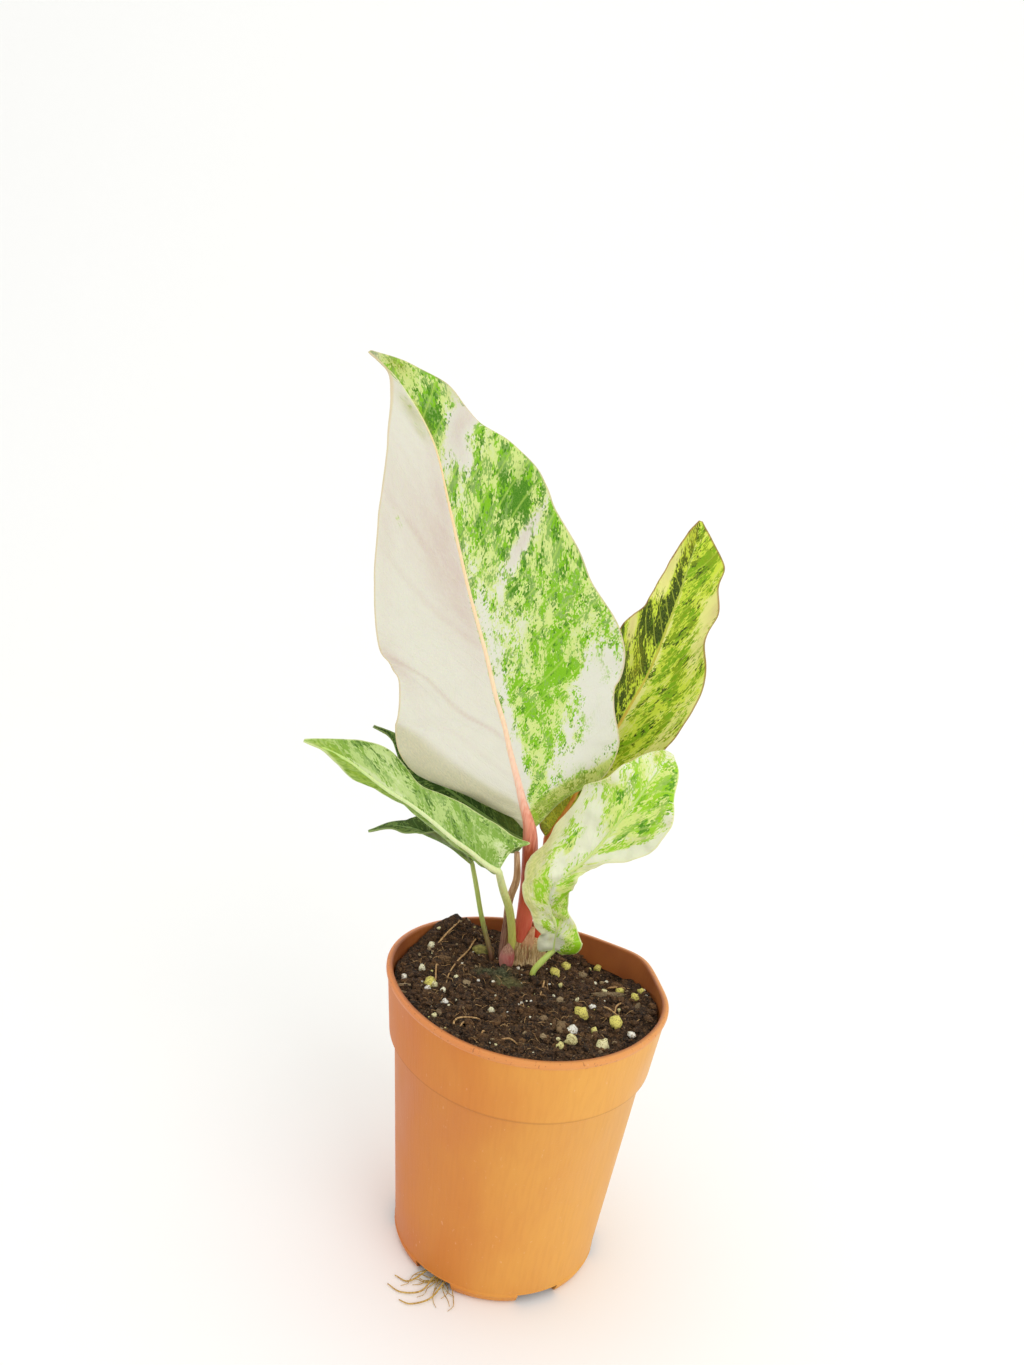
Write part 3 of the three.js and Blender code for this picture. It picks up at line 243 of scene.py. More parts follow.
# Each leaf is measured at evenly spaced stations from the blade's base to its tip. spine is the
# midrib, face the way its upper side looks. For each half, width is the distance from midrib to
# margin, sweep how far the margin runs ahead towards the tip, fold how far the half rises out of
# the face's plane in degrees, belly how far it bulges between midrib and margin, and wave the
# margin's ruffle as height, count and phase. stalk is the path of the stalk up to the blade.
# grid is the mesh's rows and its columns in each half. The side veins lie vein_gap apart and run
# ahead by vein_slope for each millimetre outwards, on the left and on the right. quilt is how high
# the skin swells between them, pucker how uneven it is.
LEAVES = {
    "a": {
        "grid": (132, 28),
        "vein_gap": 8.5,
        "vein_slope": (1.15, 0.85),
        "quilt": 0.25,
        "pucker": 0.35,
        "spine": [
            (-8, 24, 177.5), (-9.5, 24, 182), (-12.5, 25, 188.5), (-16, 26, 197.5), (-21, 29, 209),
            (-25.5, 32, 220.5), (-30.5, 34, 231.5), (-36, 37, 245.5), (-42, 40, 259.5),
            (-48.5, 43, 274.5), (-55.5, 47, 292), (-63, 52, 311), (-71, 57, 331), (-81, 62, 346),
            (-95, 68.5, 361), (-109, 75, 371),
        ],
        "face": [
            (0.1, -0.8, -0.25), (0.28, -0.93, 0.12), (0.28, -0.93, 0.14),
            (0.28, -0.93, 0.22), (0.22, -0.93, 0.28),
        ],
        "left": {
            "width": [3, 9, 21.5, 40, 48.5, 48, 43, 43.7, 46.7, 44, 37.7, 29.3, 20, 8.4, 1.2, 0.7],
            "sweep": [0, 4.5, 8.5, 12.5, 11.8, 10.8, 11.5, 5.5, 1.5, 3, 5, 7.5, 11, 12, 4, 0],
            "fold": [-20, -16, -6, 4, 12, 15, 16, 16, 16, 16, 15, 14, 12, 10, 6, 0],
            "belly": [0, 1, 2, 2, 1, -1, -2, -2, -2, -2, -2, -1, 0, 0, 0, 0],
            "wave": (0.8, 5, 0.2),
        },
        "right": {
            "width": [
                3, 7, 11.5, 17.5, 24.5, 31.5, 38, 43.5, 47, 48, 48, 50, 52.5, 56, 58.5, 59, 58.2,
                55.4, 52.7, 51.2, 47.2, 44.5, 43.7, 41.2, 32.4, 22.8, 19.3, 17.3, 11, 6, 0.7,
            ],
            "sweep": [0, 0, -2.5, -7.5, -8.5, -6.5, -8, -11.5, -13, -10, -1, -5, -6, -7, -4, 0],
            "fold": [-20, -18, -8, 2, 8, 11, 12, 13, 13, 13, 13, 12, 12, 10, 6, 0],
            "belly": [0, 1, 2, 2, 1, -1, -2, -2, -2, -2, -2, -1, 0, 0, 0, 0],
            "wave": (1, 5, 0.6),
        },
        "stalk": [(-5, 30.5, STALK_FOOT), (-5, 30, 130), (-5.2, 28, 150), (-6.8, 25, 170)],
        "stalk_radius": [3.6, 3.7, 3.7, 3.4],
        "rib_radius": [2.9, 2.2, 1.5, 1.2, 1, 0.8, 0.5],
        # Creases: side, place on the midrib, place on the margin, height, spread.
        "creases": [
            (-1, 0.3, 0.49, 1.5, 4), (-1, 0.5, 0.68, 0.9, 6), (-1, 0.58, 0.77, 0.9, 6),
            (1, 0.57, 0.72, 0.8, 6), (1, 0.77, 0.88, 1, 6), (1, 0.4, 0.56, 0.6, 6),
        ],
        # Where a half rolls back at the base, painted shade: side, place on the midrib, how much
        # further on at the margin, and what is then added to cover, blush and olive.
        "rolls": [(-1, 0.08, 0.26, (0, 0.25, 0.35)), (1, 0.05, 0.19, (0.5, 0, 0.5))],
    },
    "b": {
        "grid": (110, 18),
        "vein_gap": 7,
        "vein_slope": (1.1, 1.1),
        "quilt": 0.3,
        "pucker": 0.3,
        "spine": [
            (0.5, 48, 166), (3.5, 49.5, 173), (7.5, 51.5, 181), (12.5, 54, 193), (18.5, 56.5, 206),
            (24.5, 59, 219), (30, 61.5, 232.5), (34.5, 64, 243.5), (38, 66, 256), (41, 68, 269),
            (44, 70.5, 282), (46, 73, 293), (48, 75.5, 304.5), (49, 78, 315.5),
        ],
        "face": [(0.1, -0.9, 0.2), (0.15, -0.9, 0.25), (0.2, -0.9, 0.25)],
        "left": {
            "width": [2, 9, 17, 21.5, 25, 27, 28.5, 29, 26.2, 18.6, 14.8, 11.8, 6.6, 0.7],
            "sweep": [0, -4, -4.5, -2, 0.5, 4, 6.5, 9, 8, 4, 1.5, 3, 2.5, 0],
            "fold": [20, 32, 38, 38, 38, 38, 38, 38, 36, 35, 33, 30, 26, 0],
            "belly": [0, 0, -1, -1, -2, -2, -2, -2, -2, -1, -1, -1, 0, 0],
            "wave": (0.8, 5, 0),
        },
        "right": {
            "width": [2, 10.5, 16.5, 21.5, 23.5, 26, 26.5, 24.4, 18.4, 20, 16, 15.8, 7.5, 0.7],
            "sweep": [0, 2, 7.5, 9.5, 11, 11, 11, 13, 12, 11, 8, 6, 3.5, 0],
            "fold": [14, 20, 25, 28, 28, 28, 28, 28, 26, 25, 24, 22, 18, 0],
            "belly": [0, 0, -1, -1, -2, -2, -2, -2, -2, -1, -1, -1, 0, 0],
            "wave": (1, 5, 0.5),
        },
        "stalk": [(2, 36, STALK_FOOT), (2.2, 38, 130), (1.2, 43, 150)],
        "stalk_radius": [2.8, 2.7, 2.5],
        "rib_radius": [2, 1.6, 1.3, 1.1, 1, 0.8, 0.5],
        "creases": [],
    },
    "c": {
        "grid": (132, 18),
        "vein_gap": 8,
        "vein_slope": (1.2, 0.9),
        "quilt": 0.35,
        "pucker": 1.1,
        "spine": [
            (9.5, 17, 126.5), (9.5, 16, 130.5), (9.5, 15, 135), (9, 13.5, 139.5), (6.5, 12, 145.5),
            (4.5, 10.5, 151.5), (4.5, 9.5, 157), (8, 8.5, 163), (12.5, 7.5, 168.5), (18, 7, 175),
            (23, 6.5, 183), (28, 6, 192), (33, 6, 200.5), (37, 7.5, 208), (41, 10, 215),
            (43.5, 13, 220), (45, 15, 222.5),
        ],
        "face": [
            (-0.1, -0.9, 0.4), (0, -0.9, 0.4), (-0.1, -0.85, 0.45),
            (-0.15, -0.85, 0.5), (-0.1, -0.8, 0.5),
        ],
        "left": {
            "width": [
                1.5, 6, 7.5, 7, 8.8, 8.2, 10.4, 10.8, 15.5, 18, 21.5, 21, 22, 15.5, 13, 8, 2.5,
            ],
            "sweep": [
                0, -6, -6, -2, -2, -3, -6.5, -13, -15, -15, -11.5, -7.5, -6.5, -6, -4.5, -1.5, 0,
            ],
            "fold": [4, 4, 2, 4, 8, 10, 6, -2, -10, -14, -16, -12, -6, 2, 2, -6, -20],
            "belly": [0, 1, 1, 0, 0, 1, 1.5, 2, 2, 2, 1, 1, 0, 0, 0, 0, 0],
            "wave": (0.5, 5, 0.1),
        },
        "right": {
            "width": [4, 11, 13, 9, 7, 8.5, 8, 5, 4, 7.5, 13.5, 18, 19, 17.2, 11, 7, 2],
            "sweep": [-1.5, 0, 1.5, -1, -1.5, 0, 5.5, 6, 4.5, 4, 1.5, 0, -1.5, -3, -4, -1.5, 0],
            "fold": [0, 16, 24, 14, 10, 8, 2, 0, 2, 4, 7, 9, 11, 12, 8, -4, -20],
            "belly": [0, 1, 1, 0, 0, 0, 0, 0, -1, -1, -2, -2, -2, -1, 0, 0, 0],
            "wave": (0.5, 5, 0.4),
        },
        "stalk": [(2, 16.5, HOLE_FLOOR), (2, 16.5, 110), (2.1, 16.5, 115.5), (5, 16.7, 120.5)],
        "stalk_radius": [1.2, 1.2, 1.3, 1.4],
        "rib_radius": [1.2, 0.9, 0.8, 0.8, 0.8, 0.7, 0.4],
        "creases": [(-1, 0.45, 0.4, 1.6, 2), (1, 0.45, 0.45, 1.4, 2)],
    },
    "d": {
        "grid": (100, 16),
        "vein_gap": 7,
        "vein_slope": (1.1, 1.1),
        "quilt": 0.3,
        "pucker": 0.35,
        "spine": [
            (-18, 7, 163), (-21.5, 6.5, 164.5), (-25.5, 6, 167), (-31, 5, 171), (-37.5, 4, 175),
            (-44, 3.5, 179.5), (-51, 2.5, 184.5), (-58.5, 2, 189), (-66.5, 1, 193),
            (-75, -0.5, 198.5), (-83.5, -2, 204), (-92.5, -3, 208), (-102.5, -5, 211),
        ],
        "face": [(0.15, -0.75, 0.62), (0.15, -0.72, 0.65), (0.15, -0.7, 0.68)],
        "left": {
            "width": [1.5, 5, 7, 8, 8.5, 8.5, 7.5, 5, 3.5, 5.7, 3.6, 1.2, 0.7],
            "sweep": [0, -2, -2, 0, 1, 2, 3, 4, 5, 5, 5, 3, 0],
            "fold": [-60, -90, -98, -100, -100, -98, -95, -88, -70, -50, -40, -30, 0],
            "belly": [0, 0, 1, 1, 1, 1, 1, 0, 0, 0, 0, 0, 0],
            "wave": (0.3, 3, 0.3),
        },
        "right": {
            "width": [1.5, 13, 19, 16.5, 16, 14.5, 12, 9.7, 13.8, 14.5, 11, 6.2, 0.7],
            "sweep": [0, -6, -13, -10.5, -7, -2.5, -1, -0.5, 1, 1.5, 1, -1, 0],
            "fold": [0, 5, 8, 7, 5, 3, 1, 0, 0, -1, -3, -4, 0],
            "belly": [0, 0, 1, 1, 1, 1, 1, 1, 1, 1, 0, 0, 0],
            "wave": (0.3, 3, 0),
        },
        "stalk": [
            (-8.9, 25.8, STALK_FOOT), (-9.1, 24.8, 125), (-11.6, 20, 140), (-15.5, 13.2, 152.6),
        ],
        "stalk_radius": [1.7, 1.8, 1.8, 1.7],
        "rib_radius": [1.5, 1.2, 1, 0.9, 0.8, 0.7, 0.4],
        "creases": [],
    },
    "e": {
        "grid": (64, 12),
        "vein_gap": 6,
        "vein_slope": (1.1, 1.1),
        "quilt": 0.15,
        "pucker": 0.2,
        "spine": [
            (-31, 27, 157), (-35.5, 26.5, 160), (-40.5, 25.5, 163.5), (-46, 25, 166),
            (-51.5, 24, 168), (-57, 23, 170), (-62, 21, 171), (-68, 19, 171.5), (-76.5, 16, 168.5),
        ],
        "face": [(-0.1, -0.35, 0.9), (-0.1, -0.35, 0.9), (-0.1, -0.35, 0.9)],
        "left": {
            "width": [1, 7, 9, 9, 7.5, 4, 3.5, 2, 0.6],
            "sweep": [0, 1, 1, 0, 0, 0, 0, 0, 0],
            "fold": [20, 60, 64, 62, 56, 20, -14, -10, 0],
            "belly": [0, 0, -1, -1, 0, 0, 0, 0, 0],
            "wave": (0.2, 3, 0),
        },
        "right": {
            "width": [1, 8.5, 10, 10.5, 10, 8.5, 6, 2.5, 0.6],
            "sweep": [0, -2.5, -2.5, -3.5, -3.5, -4.5, -4, -3, 0],
            "fold": [20, 30, 32, 30, 26, 20, 12, 4, 0],
            "belly": [0, 0, -1, -1, -1, 0, 0, 0, 0],
            "wave": (0.2, 3, 0),
        },
        "stalk": [
            (-17.2, 24.3, HOLE_FLOOR), (-17.2, 24.3, 110.5), (-17.3, 24.3, 115.8),
            (-19.7, 25.5, 121.6), (-24.2, 27.3, 133), (-28.1, 28.2, 146),
        ],
        "stalk_radius": [1.2, 1.2, 1.2, 1.15, 1.1, 1.1],
        "rib_radius": [1, 0.8, 0.7, 0.6, 0.4],
        "creases": [],
    },
    "f": {
        "grid": (64, 12),
        "vein_gap": 6,
        "vein_slope": (1.1, 1.1),
        "quilt": 0.2,
        "pucker": 0.2,
        "spine": [
            (-9, 38, 166), (-17.5, 39, 169), (-29.5, 40, 175), (-42, 42, 181), (-55, 44, 187.5),
            (-67.5, 46, 195), (-76, 47, 203), (-85, 48, 206.5),
        ],
        "face": [(0, -0.8, 0.6), (0, -0.8, 0.6), (0, -0.7, 0.7)],
        "left": {
            "width": [1.2, 8, 9.5, 9.5, 9, 6, 1.2, 0.6],
            "sweep": [0, -6, -6, -6, -6, -5, -2, 0],
            "fold": [0, 12, 16, 16, 16, 10, 0, 0],
            "belly": [0, 0, -1, -1, -1, 0, 0, 0],
            "wave": (0.3, 3, 0),
        },
        "right": {
            "width": [1.2, 13, 13, 11.5, 10, 7, 2.5, 0.6],
            "sweep": [0, 3, 5, 6, 6, 3.5, 0.5, 0],
            "fold": [0, 12, 16, 16, 16, 10, 0, 0],
            "belly": [0, 0, -1, -1, -1, 0, 0, 0],
            "wave": (0.3, 3, 0.4),
        },
        "stalk": [(-7, 38, STALK_FOOT), (-7.2, 38, 130), (-7.6, 38, 150)],
        "stalk_radius": [1.5, 1.5, 1.4],
        "rib_radius": [1.3, 1, 0.8, 0.6, 0.4],
        "creases": [],
    },
}

# Where the green lies on each leaf. Each brush touch is a place (u from base to tip, s from -1
# at the left margin to 1 at the right one), its reach in u and in s, and an amount that is added.
# A touch runs along the side veins. cover is the share of the surface that is green, depth how
# dark that green is, blush the pink or beige shade and olive the yellowish shade. start gives
# all four, in that order, for each half before the touches.
PAINT = {
    "a": {
        "start": {"left": (0.0, 0.2, 0.22, 0.0), "right": (0.55, 0.4, 0.0, 0.0)},
        "cover": [
            (0.845, 0.16, 0.03, 0.2, 0.9), (0.885, 0.5, 0.014, 0.5, 0.7),
            (0.94, 0.6, 0.025, 0.35, 0.2), (0.835, 0.65, 0.024, 0.45, -0.9),
            (0.79, 0.3, 0.03, 0.14, -0.5), (0.745, 0.7, 0.045, 0.3, 0.45),
            (0.69, 0.66, 0.03, 0.15, 0.35), (0.76, 0.9, 0.03, 0.2, 0.3),
            (0.66, 0.6, 0.013, 0.25, -0.8), (0.7, 0.3, 0.05, 0.18, 0.15),
            (0.62, 0.85, 0.05, 0.2, 0.3), (0.585, 0.4, 0.02, 0.2, 0.3),
            (0.575, 0.75, 0.018, 0.1, 0.5), (0.53, 0.2, 0.06, 0.15, -0.2),
            (0.55, 0.9, 0.04, 0.12, 0.1), (0.5, 0.42, 0.03, 0.15, 0.15),
            (0.43, 0.46, 0.022, 0.08, 0.7), (0.41, 0.5, 0.05, 0.18, 0.25),
            (0.35, 0.35, 0.05, 0.2, 0.2), (0.36, 0.12, 0.04, 0.08, 0.1),
            (0.29, 0.14, 0.02, 0.08, 0.15), (0.25, 0.3, 0.03, 0.12, 0.1),
            (0.45, 0.06, 0.2, 0.06, -0.35), (0.35, 0.88, 0.11, 0.22, -0.5),
            (0.42, 0.75, 0.04, 0.12, -0.3), (0.285, 0.62, 0.015, 0.04, 0.4),
            (0.17, 0.25, 0.03, 0.07, 0.4), (0.2, 0.05, 0.16, 0.07, -0.5),
            (0.2, 0.6, 0.05, 0.3, -0.4), (0.27, 0.5, 0.03, 0.2, -0.2),
            (0.87, -0.4, 0.035, 0.4, 0.2), (0.705, -0.75, 0.006, 0.08, 0.4),
            (0.965, -0.3, 0.035, 0.8, 0.6), (0.965, 0.3, 0.035, 0.8, 0.2),
        ],
        "depth": [
            (0.845, 0.16, 0.04, 0.25, 0.5), (0.745, 0.7, 0.06, 0.3, 0.4),
            (0.6, 0.4, 0.04, 0.25, 0.3), (0.69, 0.66, 0.04, 0.2, 0.4),
            (0.35, 0.5, 0.12, 0.5, -0.2), (0.79, 0.35, 0.04, 0.2, 0.3),
            (0.12, 0.7, 0.06, 0.4, 0.35),
        ],
        "blush": [
            (0.62, -0.12, 0.14, 0.2, 0.7), (0.7, -0.45, 0.1, 0.35, 0.45),
            (0.76, -0.1, 0.06, 0.12, 0.3), (0.48, -0.95, 0.05, 0.12, 0.6),
            (0.835, 0.65, 0.02, 0.45, 0.8), (0.66, 0.6, 0.01, 0.25, 0.7),
            (0.79, 0.3, 0.025, 0.12, 0.35), (0.88, 0.95, 0.03, 0.15, 0.4),
            # This line and the next hold thin touches along the left half's creases: painted shade
            # in their folds.
            (0.37, -0.35, 0.007, 0.7, 0.75), (0.57, -0.35, 0.008, 0.6, 0.35),
            (0.665, -0.35, 0.008, 0.6, 0.4), (0.29, -0.35, 0.006, 0.5, 0.25),
            (0.985, 0, 0.02, 1.5, 0.6), (0.7, -0.9, 0.15, 0.12, 0.3),
        ],
        "olive": [
            (0.87, -0.35, 0.035, 0.4, 0.45), (0.83, -0.3, 0.012, 0.15, 0.3),
            (0.95, 0.5, 0.03, 0.4, 0.5), (0.86, 0.02, 0.05, 0.06, 0.4),
            (0.965, -0.3, 0.035, 0.8, 0.5),
        ],
    },
    "b": {
        # The left half is dark green partly of its own and partly as painted shadow of leaf A over
        # it.
        "start": {"left": (0.8, 1.0, 0.0, 0.0), "right": (0.5, 0.3, 0.0, 0.0)},
        "cover": [
            (0.68, -0.6, 0.05, 0.45, 0.3), (0.62, -0.85, 0.035, 0.3, -0.9),
            (0.53, -0.35, 0.04, 0.15, -0.35), (0.8, -0.8, 0.1, 0.3, -1.0),
            (0.92, -0.5, 0.05, 0.6, -0.3), (0.72, -0.95, 0.03, 0.1, -0.5),
            (0.87, 0.55, 0.06, 0.4, 0.7), (0.79, 0.2, 0.06, 0.15, 0.35),
            (0.7, 0.52, 0.03, 0.12, 0.4), (0.72, 0.85, 0.04, 0.2, -0.9),
            (0.6, 0.85, 0.06, 0.15, -0.4), (0.66, 0.2, 0.08, 0.2, 0.1),
            (0.57, 0.6, 0.02, 0.15, 0.25), (0.48, 0.5, 0.025, 0.2, 0.4),
            (0.43, 0.85, 0.04, 0.15, -0.3), (0.37, 0.4, 0.035, 0.15, 0.5),
            (0.3, 0.7, 0.06, 0.4, -0.2), (0.6, 0.03, 0.3, 0.05, -0.4),
            (0.42, -0.45, 0.12, 0.5, 0.3), (0.75, -0.25, 0.1, 0.2, 0.25),
        ],
        "depth": [
            (0.88, 0.5, 0.05, 0.4, 0.1), (0.7, 0.5, 0.04, 0.2, 0.2), (0.37, 0.4, 0.05, 0.2, 0.1),
            (0.6, -0.8, 0.05, 0.3, -0.3),
        ],
        "blush": [
            (0.62, -0.85, 0.03, 0.3, 0.5), (0.82, -0.85, 0.06, 0.25, 0.35),
            (0.71, 0.95, 0.04, 0.12, 0.6), (0.6, 0.95, 0.05, 0.08, 0.3),
        ],
        "olive": [
            (0.08, 0, 0.12, 1.5, 0.9), (0.55, -0.3, 0.05, 0.2, 0.5), (0.95, -0.4, 0.04, 0.8, 0.5),
            (0.9, -0.6, 0.06, 0.4, 0.3),
        ],
    },
    "c": {
        "start": {"left": (0.33, 0.15, 0.0, 0.0), "right": (0.36, 0.15, 0.0, 0.0)},
        "cover": [
            (0.06, -0.3, 0.08, 1.2, -0.8), (0.07, 0.2, 0.06, 0.2, -0.6),
            (0.12, 0.85, 0.06, 0.4, 1), (0.18, -0.4, 0.03, 0.35, 0.35),
            (0.18, 0.1, 0.02, 0.2, 0.2), (0.37, -0.4, 0.04, 0.28, 0.75),
            (0.43, -0.35, 0.03, 0.3, 0.2), (0.35, 0.8, 0.06, 0.22, 0.7),
            (0.43, 0.6, 0.05, 0.35, 0.5), (0.23, 0.5, 0.015, 0.5, 0.45),
            (0.27, 0.7, 0.02, 0.3, 0.35), (0.22, 0, 0.03, 0.15, 0.2),
            (0.35, 0.1, 0.06, 0.12, -0.4), (0.45, -0.2, 0.03, 0.2, -0.6),
            (0.56, -0.45, 0.022, 0.08, 0.8), (0.62, -0.3, 0.05, 0.3, -0.35),
            (0.52, 0.4, 0.03, 0.5, -0.1), (0.57, 0.6, 0.006, 0.4, 0.6),
            (0.635, 0.4, 0.012, 0.25, 0.5), (0.6, 0.5, 0.02, 0.4, -0.4),
            (0.66, 0.85, 0.04, 0.25, -0.8), (0.74, 0.45, 0.05, 0.3, 0.45),
            (0.7, 0.1, 0.05, 0.1, 0.2), (0.87, 0.65, 0.05, 0.4, 0.7),
            (0.85, 0.18, 0.08, 0.15, 0.4), (0.75, -0.4, 0.05, 0.4, 0.35),
            (0.73, -0.1, 0.03, 0.15, 0.4), (0.87, -0.4, 0.06, 0.5, 0.25),
            (0.3, -0.9, 0.1, 0.25, -0.6), (0.6, -0.95, 0.08, 0.2, -0.5),
            (0.79, 0.85, 0.02, 0.2, -0.4),
        ],
        "depth": [
            (0.87, 0.65, 0.06, 0.4, 0.7), (0.74, 0.45, 0.05, 0.3, 0.5),
            (0.56, -0.45, 0.03, 0.1, 0.7), (0.76, -0.25, 0.05, 0.3, 0.4),
            (0.36, 0, 0.12, 1.5, -0.4), (0.85, 0.18, 0.05, 0.12, -0.3),
        ],
        "blush": [
            (0.705, 0.62, 0.008, 0.1, 0.8), (0.5, -0.7, 0.02, 0.1, 0.5),
            (0.5, -0.95, 0.1, 0.15, 0.4), (0.8, -0.9, 0.04, 0.15, 0.5),
            (0.79, 0.95, 0.02, 0.1, 0.4),
        ],
        "olive": [
            (0.3, -0.85, 0.08, 0.3, 0.7), (0.5, -0.85, 0.08, 0.2, 0.7),
            (0.95, -0.5, 0.04, 0.4, 0.6), (0.28, -0.3, 0.03, 0.3, 0.35),
            (0.52, 0.5, 0.025, 0.5, 0.5), (0.27, 0.15, 0.05, 0.2, 0.3),
            (0.12, -0.3, 0.03, 0.1, 0.4),
        ],
    },
    "d": {
        # The left half droops below the midrib into shade. Its darker, more olive start is painted
        # shade, as is the olive touch on it at u 0.75.
        "start": {"left": (0.9, 0.6, 0.0, 0.4), "right": (0.78, 0.35, 0.0, 0.05)},
        "cover": [
            (0.12, 0.1, 0.12, 0.12, 0.35), (0.1, 0.5, 0.1, 0.15, -0.6),
            (0.3, 0.3, 0.12, 0.25, 0.2), (0.43, 0.45, 0.05, 0.25, -0.25),
            (0.55, 0.7, 0.04, 0.25, 0.2), (0.7, 0.5, 0.12, 0.5, -0.3),
            (0.75, 0.06, 0.15, 0.06, -0.6), (0.2, 0.8, 0.08, 0.08, -0.5),
            (0.9, 0.5, 0.06, 0.5, -0.2),
        ],
        "depth": [(0.7, 0.5, 0.15, 0.5, 0.2), (0.2, 0.3, 0.12, 0.5, -0.3), (0.9, 0, 0.08, 1, -0.4)],
        "blush": [],
        "olive": [
            (0.93, 0, 0.08, 1.2, 0.6), (0.75, -0.5, 0.12, 0.5, 0.4), (0.8, 0.1, 0.1, 0.1, 0.2),
        ],
    },
    "e": {
        "start": {"left": (0.8, 0.9, 0.0, 0.4), "right": (0.9, 0.95, 0.0, 0.3)},
        "cover": [(0.65, -0.5, 0.1, 0.5, -0.4)],
        "depth": [(0.65, -0.3, 0.12, 0.6, -0.4)],
        "blush": [],
        "olive": [],
    },
    "f": {
        "start": {"left": (0.95, 0.95, 0.0, 0.1), "right": (0.95, 0.95, 0.0, 0.1)},
        "cover": [],
        "depth": [],
        "blush": [],
        "olive": [(0.1, 0, 0.1, 1.5, 0.6)],
    },
}

# Stalk and midrib colours from foot to tip, as shares of the length and sRGB hex values.
RIB_COLOURS = {
    # On leaf A's stalk, the lighter stop at 0.07 is a painted highlight and the dark brown stop at
    # 0.18 is painted shade.
    "a": [(0, "E2604C"), (0.07, "E8705A"), (0.12, "C4502F"), (0.18, "A84A2C"), (0.23, "E28C70"),
          (0.28, "F0BCA2"), (0.4, "F0CFA8"), (0.6, "F2D2A4"), (0.8, "EECB94"), (0.92, "DDE3A6"),
          (1, "D9C09A")],
    "b": [(0, "D8503A"), (0.1, "E0603E"), (0.2, "B8502C"), (0.3, "C8782C"), (0.42, "D29A34"),
          (0.6, "C8B43C"), (0.8, "B4BC3C"), (1, "8FA83A")],
    "c": [(0, "8A6A3A"), (0.055, "B89A50"), (0.075, "C4D864"), (0.15, "C8E070"), (0.35, "DCE49C"),
          (0.65, "C6DC7C"), (1, "A8CC58")],
    "d": [(0, "A88A50"), (0.04, "C6C860"), (0.2, "CBD070"), (0.36, "D6DE9C"), (0.6, "D6E2A4"),
          (0.85, "C2D884"), (1, "A9CF4C")],
    "e": [(0, "5A3E2A"), (0.12, "6A4A34"), (0.2, "7E7040"), (0.3, "9DB050"), (0.48, "B0C068"),
          (0.55, "8CA04C"), (0.64, "6C8A44"), (1, "8CA860")],
    "f": [(0, "8C7A4A"), (0.4, "6E8A42"), (1, "5C8440")],
}

# The tones of each leaf's upper side, as sRGB hex values.
LEAF_TONES = {
    "cream": {
        "pale": "DCDBCB", "wash": "CADC72", "fresh": "78B800", "deep": "3F7E00", "grey": "87A85A",
        "blush": "CDBDB0", "olive": "B9B04C", "stripe": "7C8A14", "net": "B4D45C", "line": "D2CFB0",
        "rim": "D4C29A",
    },
    "lime": {
        "pale": "E4E6C8", "wash": "D2E270", "fresh": "96CC1C", "deep": "4E9008", "grey": "9FC25A",
        "blush": "DCCBA6", "olive": "E4E084", "stripe": "B4C03C", "net": "BCD86A", "line": "CCD29C",
        "rim": "E4E2AC",
    },
    "bright": {
        "pale": "E6E48C", "wash": "C8DC24", "fresh": "7AAA00", "deep": "1A3400", "grey": "88A00C",
        "blush": "C8AE7C", "olive": "BCB01C", "stripe": "708808", "net": "C4D04C", "line": "C0C064",
        "rim": "94623E",
    },
    "green": {
        "pale": "CFDAA4", "wash": "AFC872", "fresh": "7CA23A", "deep": "48701E", "grey": "94B064",
        "blush": "C2BA80", "olive": "A0BC38", "stripe": "749628", "net": "A8C470", "line": "B4C07C",
        "rim": "D6DEA0",
    },
    # Painted shadow: leaves E and F wear these dark tones because they lie in shade, F under leaf A
    # and E under leaf D.
    "dark": {
        "pale": "8EA45C", "wash": "6E8C44", "fresh": "3E6A24", "deep": "20420F", "grey": "3E5E34",
        "blush": "9A9464", "olive": "6E7C2C", "stripe": "4E6624", "net": "6A8A48", "line": "6A8A48",
        "rim": "9AAC6A",
    },
}
LEAF_TONE = {"a": "cream", "b": "bright", "c": "lime", "d": "green", "e": "dark", "f": "dark"}
# The grains of the leaf's pattern: run along the midrib and outwards in millimetres, and detail.
LEAF_GRAINS = {
    "broad": (13, 10, 2.0), "fleck": (7.5, 5, 2.5), "core": (6, 4, 2.0), "cloud": (9, 6, 2.0),
}
# The fine net's meshes along the midrib and outwards, in millimetres: coarser than the real
# ones, so that they show.
NET_MESH = (0.85, 0.7)
LEAF_SLOT = {
    "a": "pale_leaf", "b": "bright_leaf", "c": "pale_leaf",
    "d": "bright_leaf", "e": "dark_leaf", "f": "dark_leaf",
}
# No half of a blade is narrower than this.
LEAST_WIDTH = 0.7
# The ruffle has a finer one on it, this many times as frequent.
FINE_WAVES = 3.3
# The swellings of a puckered blade, large and small.
PUCKER_SIZES = (7.0, 3.2)
# Where the midrib ends, how deep it lies in the blade as a share of its radius, and at how many
# places it and its stalk are measured.
RIB_END = 0.985
RIB_SINK = 0.3
RIB_STATIONS = 40
STALK_STATIONS = 16
# A touch of paint nearer the midrib than this lies on both halves. Any other ends at the midrib,
# and this is how sharply it ends there, and how softly a rolled lobe begins.
RIB_TOUCH = 0.04
TOUCH_EDGE = 60
ROLL_EDGE = 0.006

